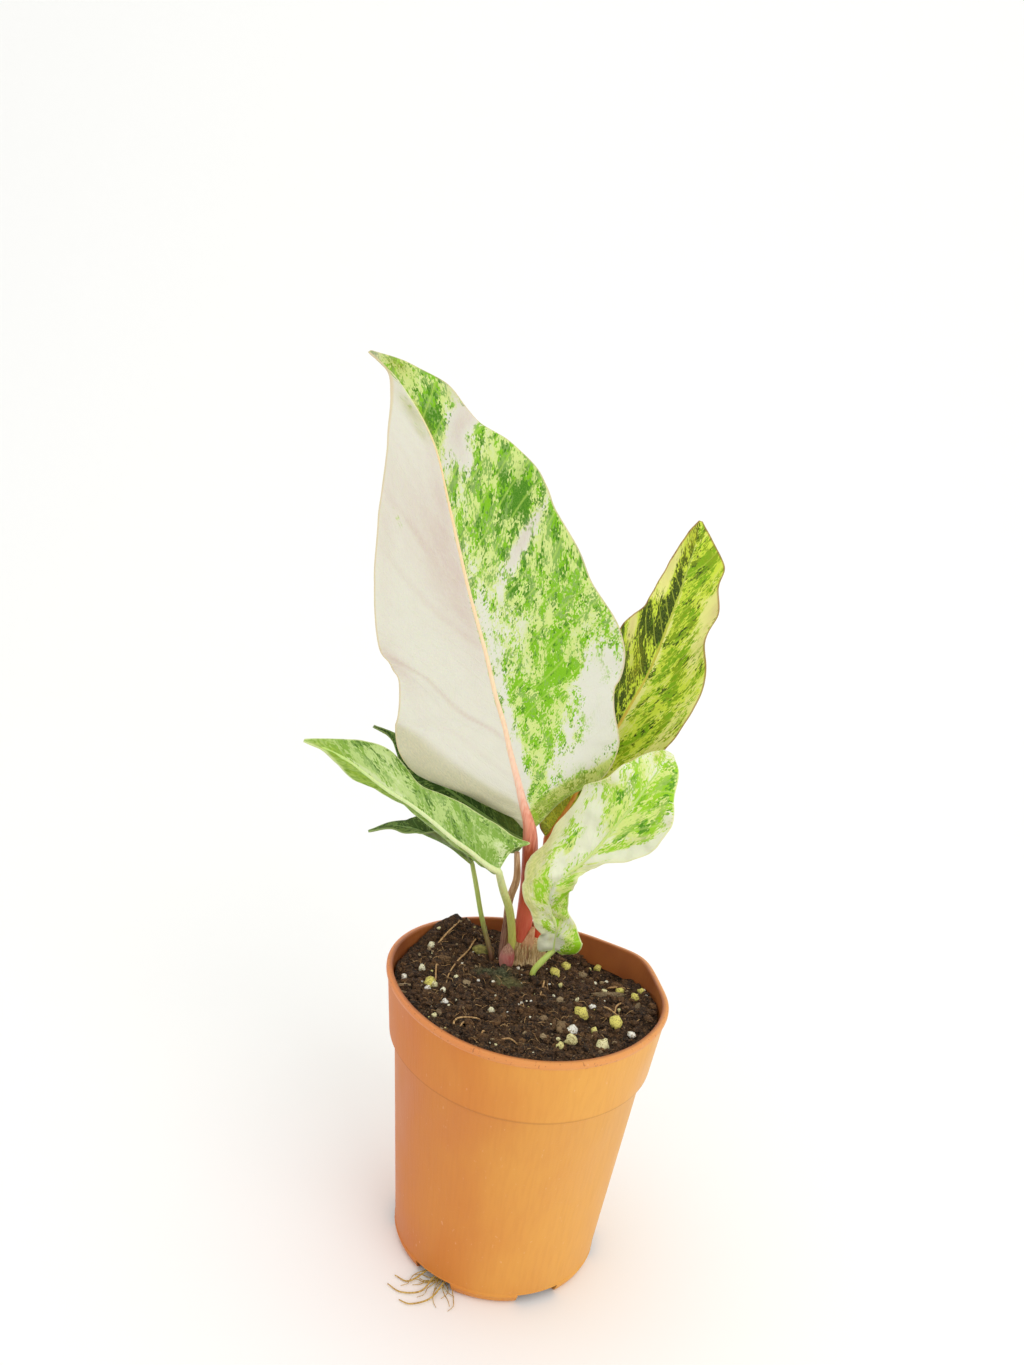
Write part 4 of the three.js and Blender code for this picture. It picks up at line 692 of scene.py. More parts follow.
# Dry plant matter: its light and dark tones, how wide a streak is in millimetres, and how many
# times longer it is.
DRY_MATTER = {
    "old green stem": ("9A9048", "5E5A2C", 1.2, 1),
    "dry root": ("DAB47C", "94683C", 0.8, 9),
    "yellow root": ("E2C06A", "A88038", 0.7, 2),
    "dry stem fibre": ("ECD09C", "A47C48", 0.9, 9),
    "dry peach sheath": ("EDBE96", "C98A60", 0.7, 9),
    "papery sheath": ("B88E74", "74483A", 0.5, 20),
    "dried stalk": ("DCB48E", "9A6A44", 1.0, 14),
}

# What stands in the soil: its place, and the radius that is kept clear of crumbs round it.
STEMS = (
    (*CROWN_PLACE, CROWN_RADIUS + 0.5), (*BUD_PLACE, BUD_RADIUS + 0.6),
    *((*LEAVES[letter]["stalk"][0][:2], 1.9) for letter in ("c", "e")),
)

# The camera that took the photograph, fitted: place in metres, angles in degrees.
CAMERA_PLACE = (0, -0.397, 0.3285)
CAMERA_PITCH = 11.79
CAMERA_YAW = -3.21
CAMERA_ROLL = 7.30
CAMERA_LENS = 27
CAMERA_SENSOR = 36
# The white sweep in metres: the floor's half width, how far behind the pot it turns up, and its
# height. Its bend is a radius and a number of steps.
SWEEP = (4.0, 1.6, 3.5)
SWEEP_BEND = (0.9, 16)
# Each soft light: name, place and size in metres, and its share of the key light's power.
LIGHTS = (("key light", (1.0, -1.1, 1.2), 1.2, 1), ("top light", (-0.3, 0.2, 1.9), 1.4, 0.4))
LIGHT_AIM = (0, 0, 0.16)


def linear(value):
    """An sRGB hex colour as linear red, green, blue and alpha."""
    channels = [int(value[k:k + 2], 16) / 255 for k in (0, 2, 4)]
    bent = [c / 12.92 if c <= 0.04045 else ((c + 0.055) / 1.055) ** 2.4 for c in channels]
    return (*bent, 1.0)


class PotSettings(bpy.types.PropertyGroup):
    """Colours and fineness of the nursery pot."""

    colour: FloatVectorProperty(
        name="Colour", description="The plastic's own colour", subtype="COLOR", size=4,
        min=0, max=1, default=linear("C86E24"),
    )
    # Painted light: the pot's colour on its right side, paler and more golden where the light
    # falls.
    lit: FloatVectorProperty(
        name="Lit", description="The plastic where the sun has bleached it", subtype="COLOR",
        size=4, min=0, max=1, default=linear("E4A54B"),
    )
    steps: IntProperty(
        name="Steps", description="Steps round the pot", min=60, max=360, default=180,
    )


class SoilSettings(bpy.types.PropertyGroup):
    """What covers the potting mix."""

    crumbs: IntProperty(
        name="Crumbs", description="Loose crumbs on the soil", min=0, max=9500, default=9000,
    )
    fibres: IntProperty(
        name="Fibres", description="Fine roots and fibres on the soil", min=0, max=600, default=150,
    )
    dark: FloatVectorProperty(
        name="Dark", description="The mix's darkest colour", subtype="COLOR", size=4,
        min=0, max=1, default=linear("1C110A"),
    )


class LeafSettings(bpy.types.PropertyGroup):
    """Thickness and margin of the leaves."""

    thickness: FloatProperty(
        name="Thickness", description="Thickness of a blade", unit="LENGTH", subtype="DISTANCE",
        min=0.0003, max=0.002, default=0.7 * MM,
    )
    margin: FloatProperty(
        name="Margin line", description="Width of the coloured line along the margin",
        unit="LENGTH", subtype="DISTANCE", min=0, max=0.003, default=0.8 * MM,
    )


class StageSettings(bpy.types.PropertyGroup):
    """Floor and light."""

    floor: FloatVectorProperty(
        name="Floor", description="Colour of the floor", subtype="COLOR", size=4,
        min=0, max=1, default=linear("FAFAF8"),
    )
    key: FloatProperty(
        name="Key", description="Power of the key light in watts", min=0, max=200, default=7,
    )
    sky: FloatProperty(
        name="Sky", description="Strength of the light all round", min=0, max=5, default=0.95,
    )


def smooth(values, t):
    """A smooth line through evenly spaced numbers or points, read at each t from 0 to 1."""
    values = np.asarray(values, float)
    last = len(values) - 1
    x = np.clip(np.asarray(t, float), 0, 1) * last
    i = np.minimum(x.astype(int), last - 1)
    f = x - i
    if values.ndim > 1:
        f = f[..., None]
    before = np.concatenate([2 * values[:1] - values[1:2], values[:-1]])
    after = np.concatenate([values[1:], 2 * values[-1:] - values[-2:-1]])
    a, b, c, d = before[i], values[i], values[i + 1], after[i + 1]
    return b + 0.5 * f * (c - a + f * (2 * a - 5 * b + 4 * c - d + f * (3 * (b - c) + d - a)))


def unit(vectors):
    """The vectors at length one."""
    return vectors / np.linalg.norm(vectors, axis=-1, keepdims=True)


def object_from(name, points, faces, edges=()):
    """A new object from points in millimetres and faces, or edges alone."""
    mesh = bpy.data.meshes.new(name)
    mesh.from_pydata([tuple(p) for p in np.asarray(points) * MM], edges, faces)
    mesh.update()
    made = bpy.data.objects.new(name, mesh)
    bpy.context.scene.collection.objects.link(made)
    return made


def add_object(name, operator, **settings):
    """Adds an object with one of Blender's operators, selected alone, under its own name."""
    bpy.ops.object.select_all(action="DESELECT")
    operator(**settings)
    made = bpy.context.object
    made.name = name
    return made


def pick(made):
    """Makes one object the only selected and active one."""
    bpy.ops.object.select_all(action="DESELECT")
    made.select_set(True)
    bpy.context.view_layer.objects.active = made


def apply_modifier(made, kind, **settings):
    """Adds a modifier with its settings and applies it."""
    pick(made)
    bpy.ops.object.modifier_add(type=kind)
    modifier = made.modifiers[-1]
    for field, value in settings.items():
        setattr(modifier, field, value)
    bpy.ops.object.modifier_apply(modifier=modifier.name)


def face_outwards(made):
    """Recalculates a closed mesh's normals so that they point out."""
    pick(made)
    bpy.ops.object.mode_set(mode="EDIT")
    bpy.ops.mesh.select_all(action="SELECT")
    bpy.ops.mesh.normals_make_consistent(inside=False)
    bpy.ops.object.mode_set(mode="OBJECT")


def finish_piece(made, slot, *nodes, material=None):
    """Smooths a piece, gives it its finish and ties it to the frame."""
    pick(made)
    bpy.ops.object.shade_smooth()
    if material:
        made.data.materials.append(material)
    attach(made, "root")
    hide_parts(*nodes)


def ring_faces(rings, sides):
    """Faces over closed rings of points, with a flat cap at each end."""
    faces = []
    for i in range(rings - 1):
        for k in range(sides):
            a = i * sides + k
            b = i * sides + (k + 1) % sides
            faces.append((a, b, b + sides, a + sides))
    faces.append(tuple(range(sides))[::-1])
    faces.append(tuple(range((rings - 1) * sides, rings * sides)))
    return faces


def tube_points(path, radii, sides, steps):
    """Rings of points round a smooth path, with the share of the length that each lies at."""
    t = np.linspace(0, 1, steps + 1)
    centres = smooth(path, t)
    lengths = np.r_[0, np.cumsum(np.linalg.norm(np.diff(centres, axis=0), axis=1))]
    along = unit(np.gradient(centres, axis=0))
    side = unit(np.cross(along, np.array(ASIDE)))
    up = np.cross(side, along)
    angle = np.linspace(0, 2 * math.pi, sides, endpoint=False)[None, :, None]
    offset = side[:, None] * np.cos(angle) + up[:, None] * np.sin(angle)
    points = centres[:, None] - offset * smooth(radii, t)[:, None, None]
    return points.reshape(-1, 3), np.repeat(lengths / lengths[-1], sides)


def tube(name, path, radii, sides, steps):
    """A round stalk or midrib, with its share of the length kept as the attribute along."""
    points, share = tube_points(path, radii, sides, steps)
    made = object_from(name, points, ring_faces(steps + 1, sides))
    made.data.attributes.new("along", "FLOAT", "POINT").data.foreach_set("value", share)
    face_outwards(made)
    return made


def taper(radius):
    """A root's radius at its foot, its middle and its tip."""
    return [radius, radius * 0.8, radius * 0.5]


def strands(name, paths, radii, sides, steps):
    """Many thin tapering strands in one piece, each along its own path with its own radii."""
    points = [tube_points(path, radius, sides, steps)[0] for path, radius in zip(paths, radii)]
    ring = ring_faces(steps + 1, sides)
    starts = [len(points[0]) * k for k in range(len(points))]
    faces = [tuple(v + start for v in face) for start in starts for face in ring]
    made = object_from(name, np.vstack(points), faces)
    face_outwards(made)
    return made


def node(tree, kind, inputs=None, out=0, **settings):
    """Adds a shader node, sets its fields, sets or links its inputs, and gives one of its outputs.

    Inputs go by name or by Blender's number: 0 is a Mix node's factor, and 6 and 7 are its colours.
    1 and 2 are a Map Range node's old limits, and 3 and 4 its new ones. A text is a hex colour.
    """
    new = tree.nodes.new("ShaderNode" + kind)
    for field, value in settings.items():
        setattr(new, field, value)
    for key, value in (inputs or {}).items():
        if isinstance(value, bpy.types.NodeSocket):
            tree.links.new(value, new.inputs[key])
        else:
            new.inputs[key].default_value = linear(value) if isinstance(value, str) else value
    return new.outputs[out]


def new_material(name, roughness, **sockets):
    """A material with its shader's uniform values set, its shader, and what adds nodes to it."""
    material = bpy.data.materials.new(name)
    material.use_nodes = True
    tree = material.node_tree
    shader = tree.nodes["Principled BSDF"]
    shader.inputs["Roughness"].default_value = roughness
    for key, value in sockets.items():
        shader.inputs[key.replace("_", " ")].default_value = value
    return material, shader, partial(node, tree)


def grain_noise(add, place, size, detail, low, high, roughness=0.5, start=(0, 0, 0), soft=False):
    """Noise with grains of a size along each axis, spread out between two of its levels."""
    scale = tuple(1 / length for length in size)
    moved = add("Mapping", {"Vector": place, "Scale": scale, "Location": start})
    rough = add(
        "TexNoise", {"Vector": moved, "Scale": 1.0, "Detail": detail, "Roughness": roughness},
    )
    way = "SMOOTHSTEP" if soft else "LINEAR"
    return add("MapRange", {0: rough, 1: low, 2: high}, interpolation_type=way)


def layered(add, colour, *layers):
    """Lays tones over a colour: each is a mask, a tone and, where it isn't all, how much shows."""
    for mask, tone, *much in layers:
        if much:
            mask = add("Math", {0: mask, 1: much[0]}, operation="MULTIPLY")
        colour = add("Mix", {0: mask, 6: colour, 7: tone}, out=2, data_type="RGBA")
    return colour


def dress(shader, add, colour, relief, strength, height, shine=None):
    """Links a material's colour, its relief of a height in millimetres, and its roughness."""
    bump = add("Bump", {"Strength": strength, "Distance": height * MM, "Height": relief})
    for socket, value in (("Base Color", colour), ("Normal", bump), ("Roughness", shine)):
        if value is not None:
            shader.id_data.links.new(value, shader.inputs[socket])


def leaf_material(letter, under=False):
    """Waxy living leaf, variegated. The wax gives the eye a soft, broad shine. The fine net of
    veins shuts the green into small meshes, so its edges are ragged, and the side veins show as
    thin pale lines. The underside is duller, paler and more yellow."""
    tones = LEAF_TONES[LEAF_TONE[letter]]
    material, shader, add = new_material(
        "waxy leaf " + letter + (" underside" if under else ""), 0.5 if under else 0.4,
        IOR=1.45, Specular_IOR_Level=0.25, Subsurface_Weight=0.1, Subsurface_Scale=0.0012,
        Subsurface_Radius=(0.6, 1.0, 0.25),
    )
    veins = add("UVMap", uv_map="Veins")
    paint = add("Attribute", attribute_name="paint").node.outputs
    green, depth, blush = add("SeparateColor", {0: paint["Color"]}).node.outputs
    rim = add("Attribute", attribute_name="rim").node.outputs["Fac"]

    # Each mesh of the net has one value of each grain.
    meshes = add("Mapping", {"Vector": veins, "Scale": (1 / NET_MESH[0], 1 / NET_MESH[1], 1)})
    inside = add("TexVoronoi", {"Vector": meshes, "Scale": 1.0}, "Position")
    grain = {}
    for shift, (label, (along, outwards, detail)) in enumerate(LEAF_GRAINS.items()):
        size = (along / NET_MESH[0], outwards / NET_MESH[1], 1)
        start = (17 * shift, 9, 0)
        grain[label] = grain_noise(add, inside, size, detail, 0.3, 0.7, 0.6, start, soft=True)
    ragged = grain_noise(add, veins, (1, 1 / 1.2, 1), 3.0, 0.3, 0.7, 0.6, soft=True)
    field = 0.0
    for part, weight in ((grain["broad"], 0.3), (grain["fleck"], 0.56), (ragged, 0.14)):
        field = add("Math", {0: part, 1: weight, 2: field}, operation="MULTIPLY_ADD")
    field = add("MapRange", {0: field, 1: 0.2, 2: 0.8}, interpolation_type="SMOOTHSTEP")

    # Each mask has its share of the surface, how much it makes of it, its field and its softness.
    light = add("Math", {0: 1.0, 1: depth}, operation="SUBTRACT")
    between = add("Math", {0: light, 1: depth}, operation="MULTIPLY")
    masks = {}
    for label, share, much, over, soft in (
        ("wash", green, 2.5, field, 0.35), ("green", green, 1.08, field, 0.13),
        ("deep", depth, 1.15, grain["core"], 0.15), ("grey", between, 2.4, grain["cloud"], 0.2),
    ):
        edge = add("Math", {0: share, 1: -much, 2: 1.0 + soft}, operation="MULTIPLY_ADD")
        low = add("Math", {0: edge, 1: soft}, operation="SUBTRACT")
        high = add("Math", {0: edge, 1: soft}, operation="ADD")
        masks[label] = add("MapRange", {0: over, 1: low, 2: high}, interpolation_type="SMOOTHSTEP")

    border = add("TexVoronoi", {"Vector": meshes, "Scale": 1.0}, feature="DISTANCE_TO_EDGE")
    net = add("MapRange", {0: border, 1: 0.02, 2: 0.2, 3: 1.0, 4: 0.0})
    run = add("SeparateXYZ", {0: veins})
    run = add("Math", {0: run, 1: 1 / LEAVES[letter]["vein_gap"]}, operation="MULTIPLY")
    ripple = add("Math", {0: run, 1: 0.5}, operation="PINGPONG")
    vein = add("MapRange", {0: ripple, 1: 0.0, 2: 0.09, 3: 1.0, 4: 0.0})
    clouds = add("MapRange", {0: grain["cloud"], 3: 0.7, 4: 1.0})
    on_green = add("MapRange", {0: masks["green"], 3: 0.1, 4: 0.6})
    margin = bpy.context.scene.anthurium_leaf.margin / MM
    line = add("MapRange", {0: rim, 1: 0.4 * margin, 2: margin, 3: 0.75, 4: 0.0})

    fresh = layered(
        add, tones["fresh"], (masks["deep"], tones["deep"]), (masks["grey"], tones["grey"], 0.8),
        (net, tones["net"], 0.14),
    )
    colour = layered(
        add, tones["pale"],
        (masks["wash"], tones["wash"], 0.85),
        (masks["green"], fresh),
        (blush, tones["blush"], clouds),
        (paint["Alpha"], layered(add, tones["olive"], (ragged, tones["stripe"]))),
        (vein, layered(add, tones["line"], (masks["wash"], tones["net"])), on_green),
        (line, tones["rim"]),
    )
    if under:
        colour = layered(add, colour, (0.45, tones["olive"]))
    dull, bright = (0.58, 0.42) if under else (0.5, 0.34)
    relief = add("Math", {0: vein, 1: 0.9, 2: ragged}, operation="MULTIPLY_ADD")
    shine = add("MapRange", {0: grain["cloud"], 3: bright, 4: dull})
    dress(shader, add, colour, relief, 0.3, 0.25, shine)
    return material


def rib_material(letter):
    """Fleshy stalk and midrib, smooth and faintly streaked lengthwise, in its blend of colours."""
    material, shader, add = new_material(
        "fleshy stalk " + letter, 0.4, IOR=1.43, Subsurface_Weight=0.15, Subsurface_Scale=0.0015,
    )
    along = add("Attribute", attribute_name="along").node.outputs["Fac"]
    place = add("TexCoord", out="Object")
    scale = (1 / (0.8 * MM), 1 / (0.8 * MM), 1 / (9 * MM))
    moved = add("Mapping", {"Vector": place, "Scale": scale})
    streak = add("TexNoise", {"Vector": moved, "Scale": 1.0, "Detail": 3.0})
    shift = add("MapRange", {0: streak, 1: 0.3, 2: 0.7, 3: -0.015, 4: 0.015})
    ramp = add("ValToRGB", {0: add("Math", {0: along, 1: shift}, operation="ADD")})
    stops = ramp.node.color_ramp.elements
    while len(stops) < len(RIB_COLOURS[letter]):
        stops.new(0.5)
    for element, (share, value) in zip(stops, RIB_COLOURS[letter]):
        element.position = share
        element.color = linear(value)
    pale = add("MapRange", {0: streak, 1: 0.35, 2: 0.7, 3: 0.0, 4: 0.35})
    colour = add(
        "Mix", {0: pale, 6: ramp, 7: "FFFFFF"}, out=2, data_type="RGBA", blend_type="SOFT_LIGHT",
    )
    dress(shader, add, colour, streak, 0.3, 0.2)
    return material


def pot_material():
    """Injection-moulded polypropylene, golden terracotta: satin, with a faint orange-peel surface,
    fine upright drag lines from the mould, and scuffed along the rim. Painted light makes the right
    side paler and more golden, and painted shade makes the inside browner."""
    settings = bpy.context.scene.anthurium_pot
    material, shader, add = new_material(
        "moulded polypropylene", 0.42, IOR=1.49, Specular_IOR_Level=0.3,
        Subsurface_Weight=0.08, Subsurface_Scale=0.002, Subsurface_Radius=(1.0, 0.5, 0.2),
    )
    place = add("TexCoord", out="Object")
    grain = {}
    for label, size, detail, low, high in (
        ("cloud", (25, 25, 40), 2.0, 0.3, 0.7), ("drag", (1.3, 1.3, 70), 3.0, 0.35, 0.75),
        ("peel", (0.8, 0.8, 0.8), 2.0, 0.3, 0.7), ("speck", (1.1, 1.1, 1.6), 1.0, 0.64, 0.72),
        ("scuff", (1.6, 1.6, 2.6), 4.0, 0.66, 0.78),
    ):
        size = [length * MM for length in size]
        grain[label] = grain_noise(add, place, size, detail, low, high, soft=True)
    across = add("SeparateXYZ", {0: place})
    height = across.node.outputs["Z"]
    across = add("Math", {0: grain["cloud"], 1: 14 * MM, 2: across}, operation="MULTIPLY_ADD")
    # Painted light: from left to right the pot turns from its colour to its lit colour, as if the
    # light fell from the right.
    right = add("MapRange", {0: across, 1: -52 * MM, 2: 52 * MM}, interpolation_type="SMOOTHSTEP")
    # Painted shade: a darker band in the corner under the collar, where the collar's shadow falls.
    away = add("Math", {0: height, 1: (COLLAR_FOOT - 0.4) * MM}, operation="SUBTRACT")
    away = add("Math", {0: away}, operation="ABSOLUTE")
    dust_and_shade = add("MapRange", {0: away, 1: 0.2 * MM, 2: 1.6 * MM, 3: 0.6, 4: 0.0})
    foot, top = (POT_HEIGHT - 3.4) * MM, (POT_HEIGHT - 2.2) * MM
    rim = add("MapRange", {0: height, 1: foot, 2: top, 3: 0.0, 4: 0.6})
    inside = add("Attribute", attribute_name="inside").node.outputs["Fac"]
    colour = layered(
        add, tuple(settings.colour),
        # Painted light on the right side.
        (right, tuple(settings.lit)),
        (grain["drag"], "B4602A", 0.1),
        # Painted shade under the collar.
        (dust_and_shade, "8E4C22"),
        (rim, "DE9058"),
        (grain["speck"], "9A5430", rim),
        (grain["scuff"], "F0C49A", 0.3),
        # Painted shade: the inside of the wall is browner, as it lies in shade.
        (inside, layered(add, "8E4E28", (grain["cloud"], "A8622F"))),
    )
    relief = add("Math", {0: grain["peel"], 1: 0.6, 2: grain["drag"]}, operation="MULTIPLY_ADD")
    shine = add("MapRange", {0: grain["cloud"], 3: 0.38, 4: 0.5})
    dress(shader, add, colour, relief, 0.25, 0.12, shine)
    return material


def soil_material():
    """Damp potting mix of composted bark and peat: near black and dull, with paler dry grit in it,
    bark bits in brown, and a film of old alga by the stem."""
    material, shader, add = new_material("bark and peat mix", 0.85, IOR=1.4)
    place = add("TexCoord", out="Object")
    lump = grain_noise(add, place, (3.2 * MM,) * 3, 4.0, 0.4, 0.75, 0.65)
    grit = grain_noise(add, place, (0.7 * MM,) * 3, 3.0, 0.35, 0.75, 0.65)
    tint = add("Attribute", attribute_name="tint").node.outputs
    bark, pale, alga = add("SeparateColor", {0: tint["Color"]}).node.outputs
    dry = add("MapRange", {0: grit, 1: 0.4, 2: 0.95, 3: 0.0, 4: 0.85})
    colour = layered(
        add, tuple(bpy.context.scene.anthurium_soil.dark),
        (lump, "5E4128"),
        (dry, "967048"),
        (bark, layered(add, "4A2E1C", (grit, "9C7444"))),
        (pale, layered(add, "AC9068", (grit, "DCC69C"))),
        (alga, layered(add, "444E30", (tint["Alpha"], "7C7640"), (grit, "7E8660"))),
    )
    relief = add("Math", {0: lump, 1: grit}, operation="ADD")
    dress(shader, add, colour, relief, 0.9, 0.7)
    return material


def fibre_material(name):
    """Dry plant matter: dull, streaked along its length or, where it is woody, finely pitted."""
    light, dark, size, stretch = DRY_MATTER[name]
    material, shader, add = new_material(name, 0.8, IOR=1.4)
    size = (size * MM, size * MM, size * stretch * MM)
    streak = grain_noise(add, add("TexCoord", out="Object"), size, 4.0, 0.35, 0.65, 0.65)
    dress(shader, add, layered(add, dark, (streak, light)), streak, 0.6, 0.3)
    return material


def grain_material():
    """Expanded perlite and yellowed slow-release grains: chalky, pitted, white to straw yellow."""
    material, shader, add = new_material("expanded perlite", 0.8, IOR=1.5)
    place = add("TexCoord", out="Object")
    moved = add("Mapping", {"Vector": place, "Scale": (1 / (0.7 * MM),) * 3})
    pits = add("TexNoise", {"Vector": moved, "Scale": 1.0, "Detail": 3.0})
    hollow = add("MapRange", {0: pits, 1: 0.5, 2: 0.62, 3: 0.0, 4: 0.85})
    tint = add("Attribute", attribute_name="tint").node.outputs["Color"]
    yellow = add("SeparateColor", {0: tint})
    colour = layered(add, "F4F1E6", (yellow, "DCD26A"), (hollow, "8A763C"))
    dress(shader, add, colour, pits, 0.6, 0.3)
    return material


def bud_material():
    """Living bud scale in its papery sheath: dusty, matt, rose brown, paler on the left, and brown
    and striped lengthwise above."""
    material, shader, add = new_material(
        "bud scale", 0.7, IOR=1.4, Subsurface_Weight=0.1, Subsurface_Scale=0.001,
    )
    place = add("TexCoord", out="Object")
    dust_and_shade = grain_noise(add, place, (1.1 * MM, 1.1 * MM, 2.2 * MM), 4.0, 0.35, 0.65, 0.6)
    stripe = grain_noise(add, place, (0.5 * MM, 0.5 * MM, 12 * MM), 4.0, 0.35, 0.65, 0.6)
    across = add("SeparateXYZ", {0: place})
    left, right = (BUD_PLACE[0] - BUD_RADIUS) * MM, (BUD_PLACE[0] + 0.4 * BUD_RADIUS) * MM
    shade = add("MapRange", {0: across, 1: left, 2: right})
    low, high = (level * MM for level in BUD_PAPER)
    above = add("MapRange", {0: across.node.outputs["Z"], 1: low, 2: high})
    rose = layered(add, "BE8072", (shade, "A04C46"), (dust_and_shade, "C08A7C", 0.35))
    colour = layered(add, rose, (above, layered(add, "7E5240", (stripe, "B48A72"))))
    dress(shader, add, colour, dust_and_shade, 0.5, 0.3)
    return material


def leaf_length(leaf):
    """The midrib's length in millimetres."""
    line = smooth(leaf["spine"], np.linspace(0, 1, 60))
    return np.linalg.norm(np.diff(line, axis=0), axis=1).sum()


def half_width(half, u):
    """The width of a half at each u, never quite nothing."""
    return np.maximum(smooth(half["width"], u), LEAST_WIDTH)[:, None]


def vein_lead(leaf, side, u, t):
    """How far the side vein through a place has run ahead since it left the midrib."""
    key, slope = (("left", leaf["vein_slope"][0]), ("right", leaf["vein_slope"][1]))[side > 0]
    return slope * np.minimum(1, 0.4 + 3 * u)[:, None] * half_width(leaf[key], u) * t


def leaf_frame(leaf, u):
    """The midrib's places, directions, upper normals and ways to the right half."""
    step = 1e-3
    ahead, behind = np.minimum(u + step, 1), np.maximum(u - step, 0)
    along = unit(smooth(leaf["spine"], ahead) - smooth(leaf["spine"], behind))
    up = smooth(leaf["face"], u)
    up = unit(up - along * np.sum(up * along, axis=-1, keepdims=True))
    return smooth(leaf["spine"], u), along, up, np.cross(along, up)


def blade_points(leaf, u, s):
    """Places on the blade's middle surface for each u and each signed s, with the vein coordinates
    and the distance from the margin."""
    place, along, up, across = (v[:, None, :] for v in leaf_frame(leaf, u))
    length = leaf_length(leaf)
    points = np.zeros((len(u), len(s), 3))
    veins = np.zeros((len(u), len(s), 2))
    rim = np.zeros((len(u), len(s)))
    for sign, key in ((-1, "left"), (1, "right")):
        half = leaf[key]
        mine = s <= 0 if sign < 0 else s >= 0
        t = np.abs(s[mine])[None, :]
        width = half_width(half, u)
        fold = np.radians(smooth(half["fold"], u))[:, None]
        # The ruffle grows towards the margin and dies out at both ends, with a finer one on it.
        height, count, phase = half["wave"]
        ends = np.sin(math.pi * np.clip(u, 0, 1))[:, None] ** 0.6
        rise = height * t * t * ends * np.sin(2 * math.pi * (count * u[:, None] + phase))
        count *= FINE_WAVES
        fine = np.sin(2 * math.pi * (count * u[:, None] + phase))
        rise = rise + 0.25 * height * t ** 3 * ends * fine
        rise = rise + smooth(half["belly"], u)[:, None] * 4 * t * (1 - t)
        # The side veins wander a little, and the skin swells between them.
        run = u[:, None] * length - vein_lead(leaf, sign, u, t)
        run = run + 0.8 * np.sin(run * 0.13 + 2 * sign) * np.sin(width * t * 0.16)
        edge = np.sin(math.pi * np.clip(t, 0, 1)) ** 0.5
        rise = rise + leaf["quilt"] * edge * np.sin(math.pi * run / leaf["vein_gap"]) ** 2
        for side, at_rib, at_margin, tall, reach in leaf["creases"]:
            if side == sign:
                slant = (at_margin - at_rib) * t ** 1.2
                away = (u[:, None] - at_rib - slant) * length / reach
                rise = rise + tall * t ** 0.7 * np.exp(-away ** 2)
        # Each half turns by its fold about the midrib.
        out = sign * (width * t * np.cos(fold) - rise * np.sin(fold))
        lift = width * t * np.sin(fold) + rise * np.cos(fold)
        sweep = smooth(half["sweep"], u)[:, None] * t * t
        points[:, mine] = place + across * out[..., None] + up * lift[..., None]
        points[:, mine] += along * sweep[..., None]
        veins[:, mine, 0] = run
        veins[:, mine, 1] = sign * width * t
        rim[:, mine] = width * (1 - t)
    return points, veins, rim


def painted(letter, u, s):
    """The four paint values at each place: cover, depth, blush and olive."""
    brushes, leaf = PAINT[letter], LEAVES[letter]
    length = leaf_length(leaf)
    rows, columns = np.meshgrid(u, s, indexing="ij")
    left = columns < 0
    leads = [vein_lead(leaf, side, u, np.abs(columns)) for side in (-1, 1)]
    lead = np.where(left, *leads)
    start = brushes["start"]
    values = np.where(left[..., None], start["left"], start["right"]).astype(float)
    for k, channel in enumerate(("cover", "depth", "blush", "olive")):
        for at_u, at_s, reach_u, reach_s, amount in brushes[channel]:
            half = 1
            if abs(at_s) > RIB_TOUCH:
                half = 1 / (1 + np.exp(-columns * np.sign(at_s) * TOUCH_EDGE))
            started = vein_lead(leaf, at_s or 1, np.array([at_u]), abs(at_s))[0, 0]
            far_u = (rows - at_u - (lead - started) / length) / reach_u
            far_s = (columns - at_s) / reach_s
            values[..., k] += amount * half * np.exp(-(far_u ** 2 + far_s ** 2))
    # Below each of these lines a basal lobe rolls back into shade, and that shade is painted on it.
    for side, at_rib, further, amounts in leaf.get("rolls", []):
        line = at_rib + further * np.abs(columns) ** 0.7
        rolled = (columns * side > 0) / (1 + np.exp((rows - line) / ROLL_EDGE))
        for k, amount in zip((0, 2, 3), amounts):
            values[..., k] += rolled * amount
    return np.clip(values, 0, 1)


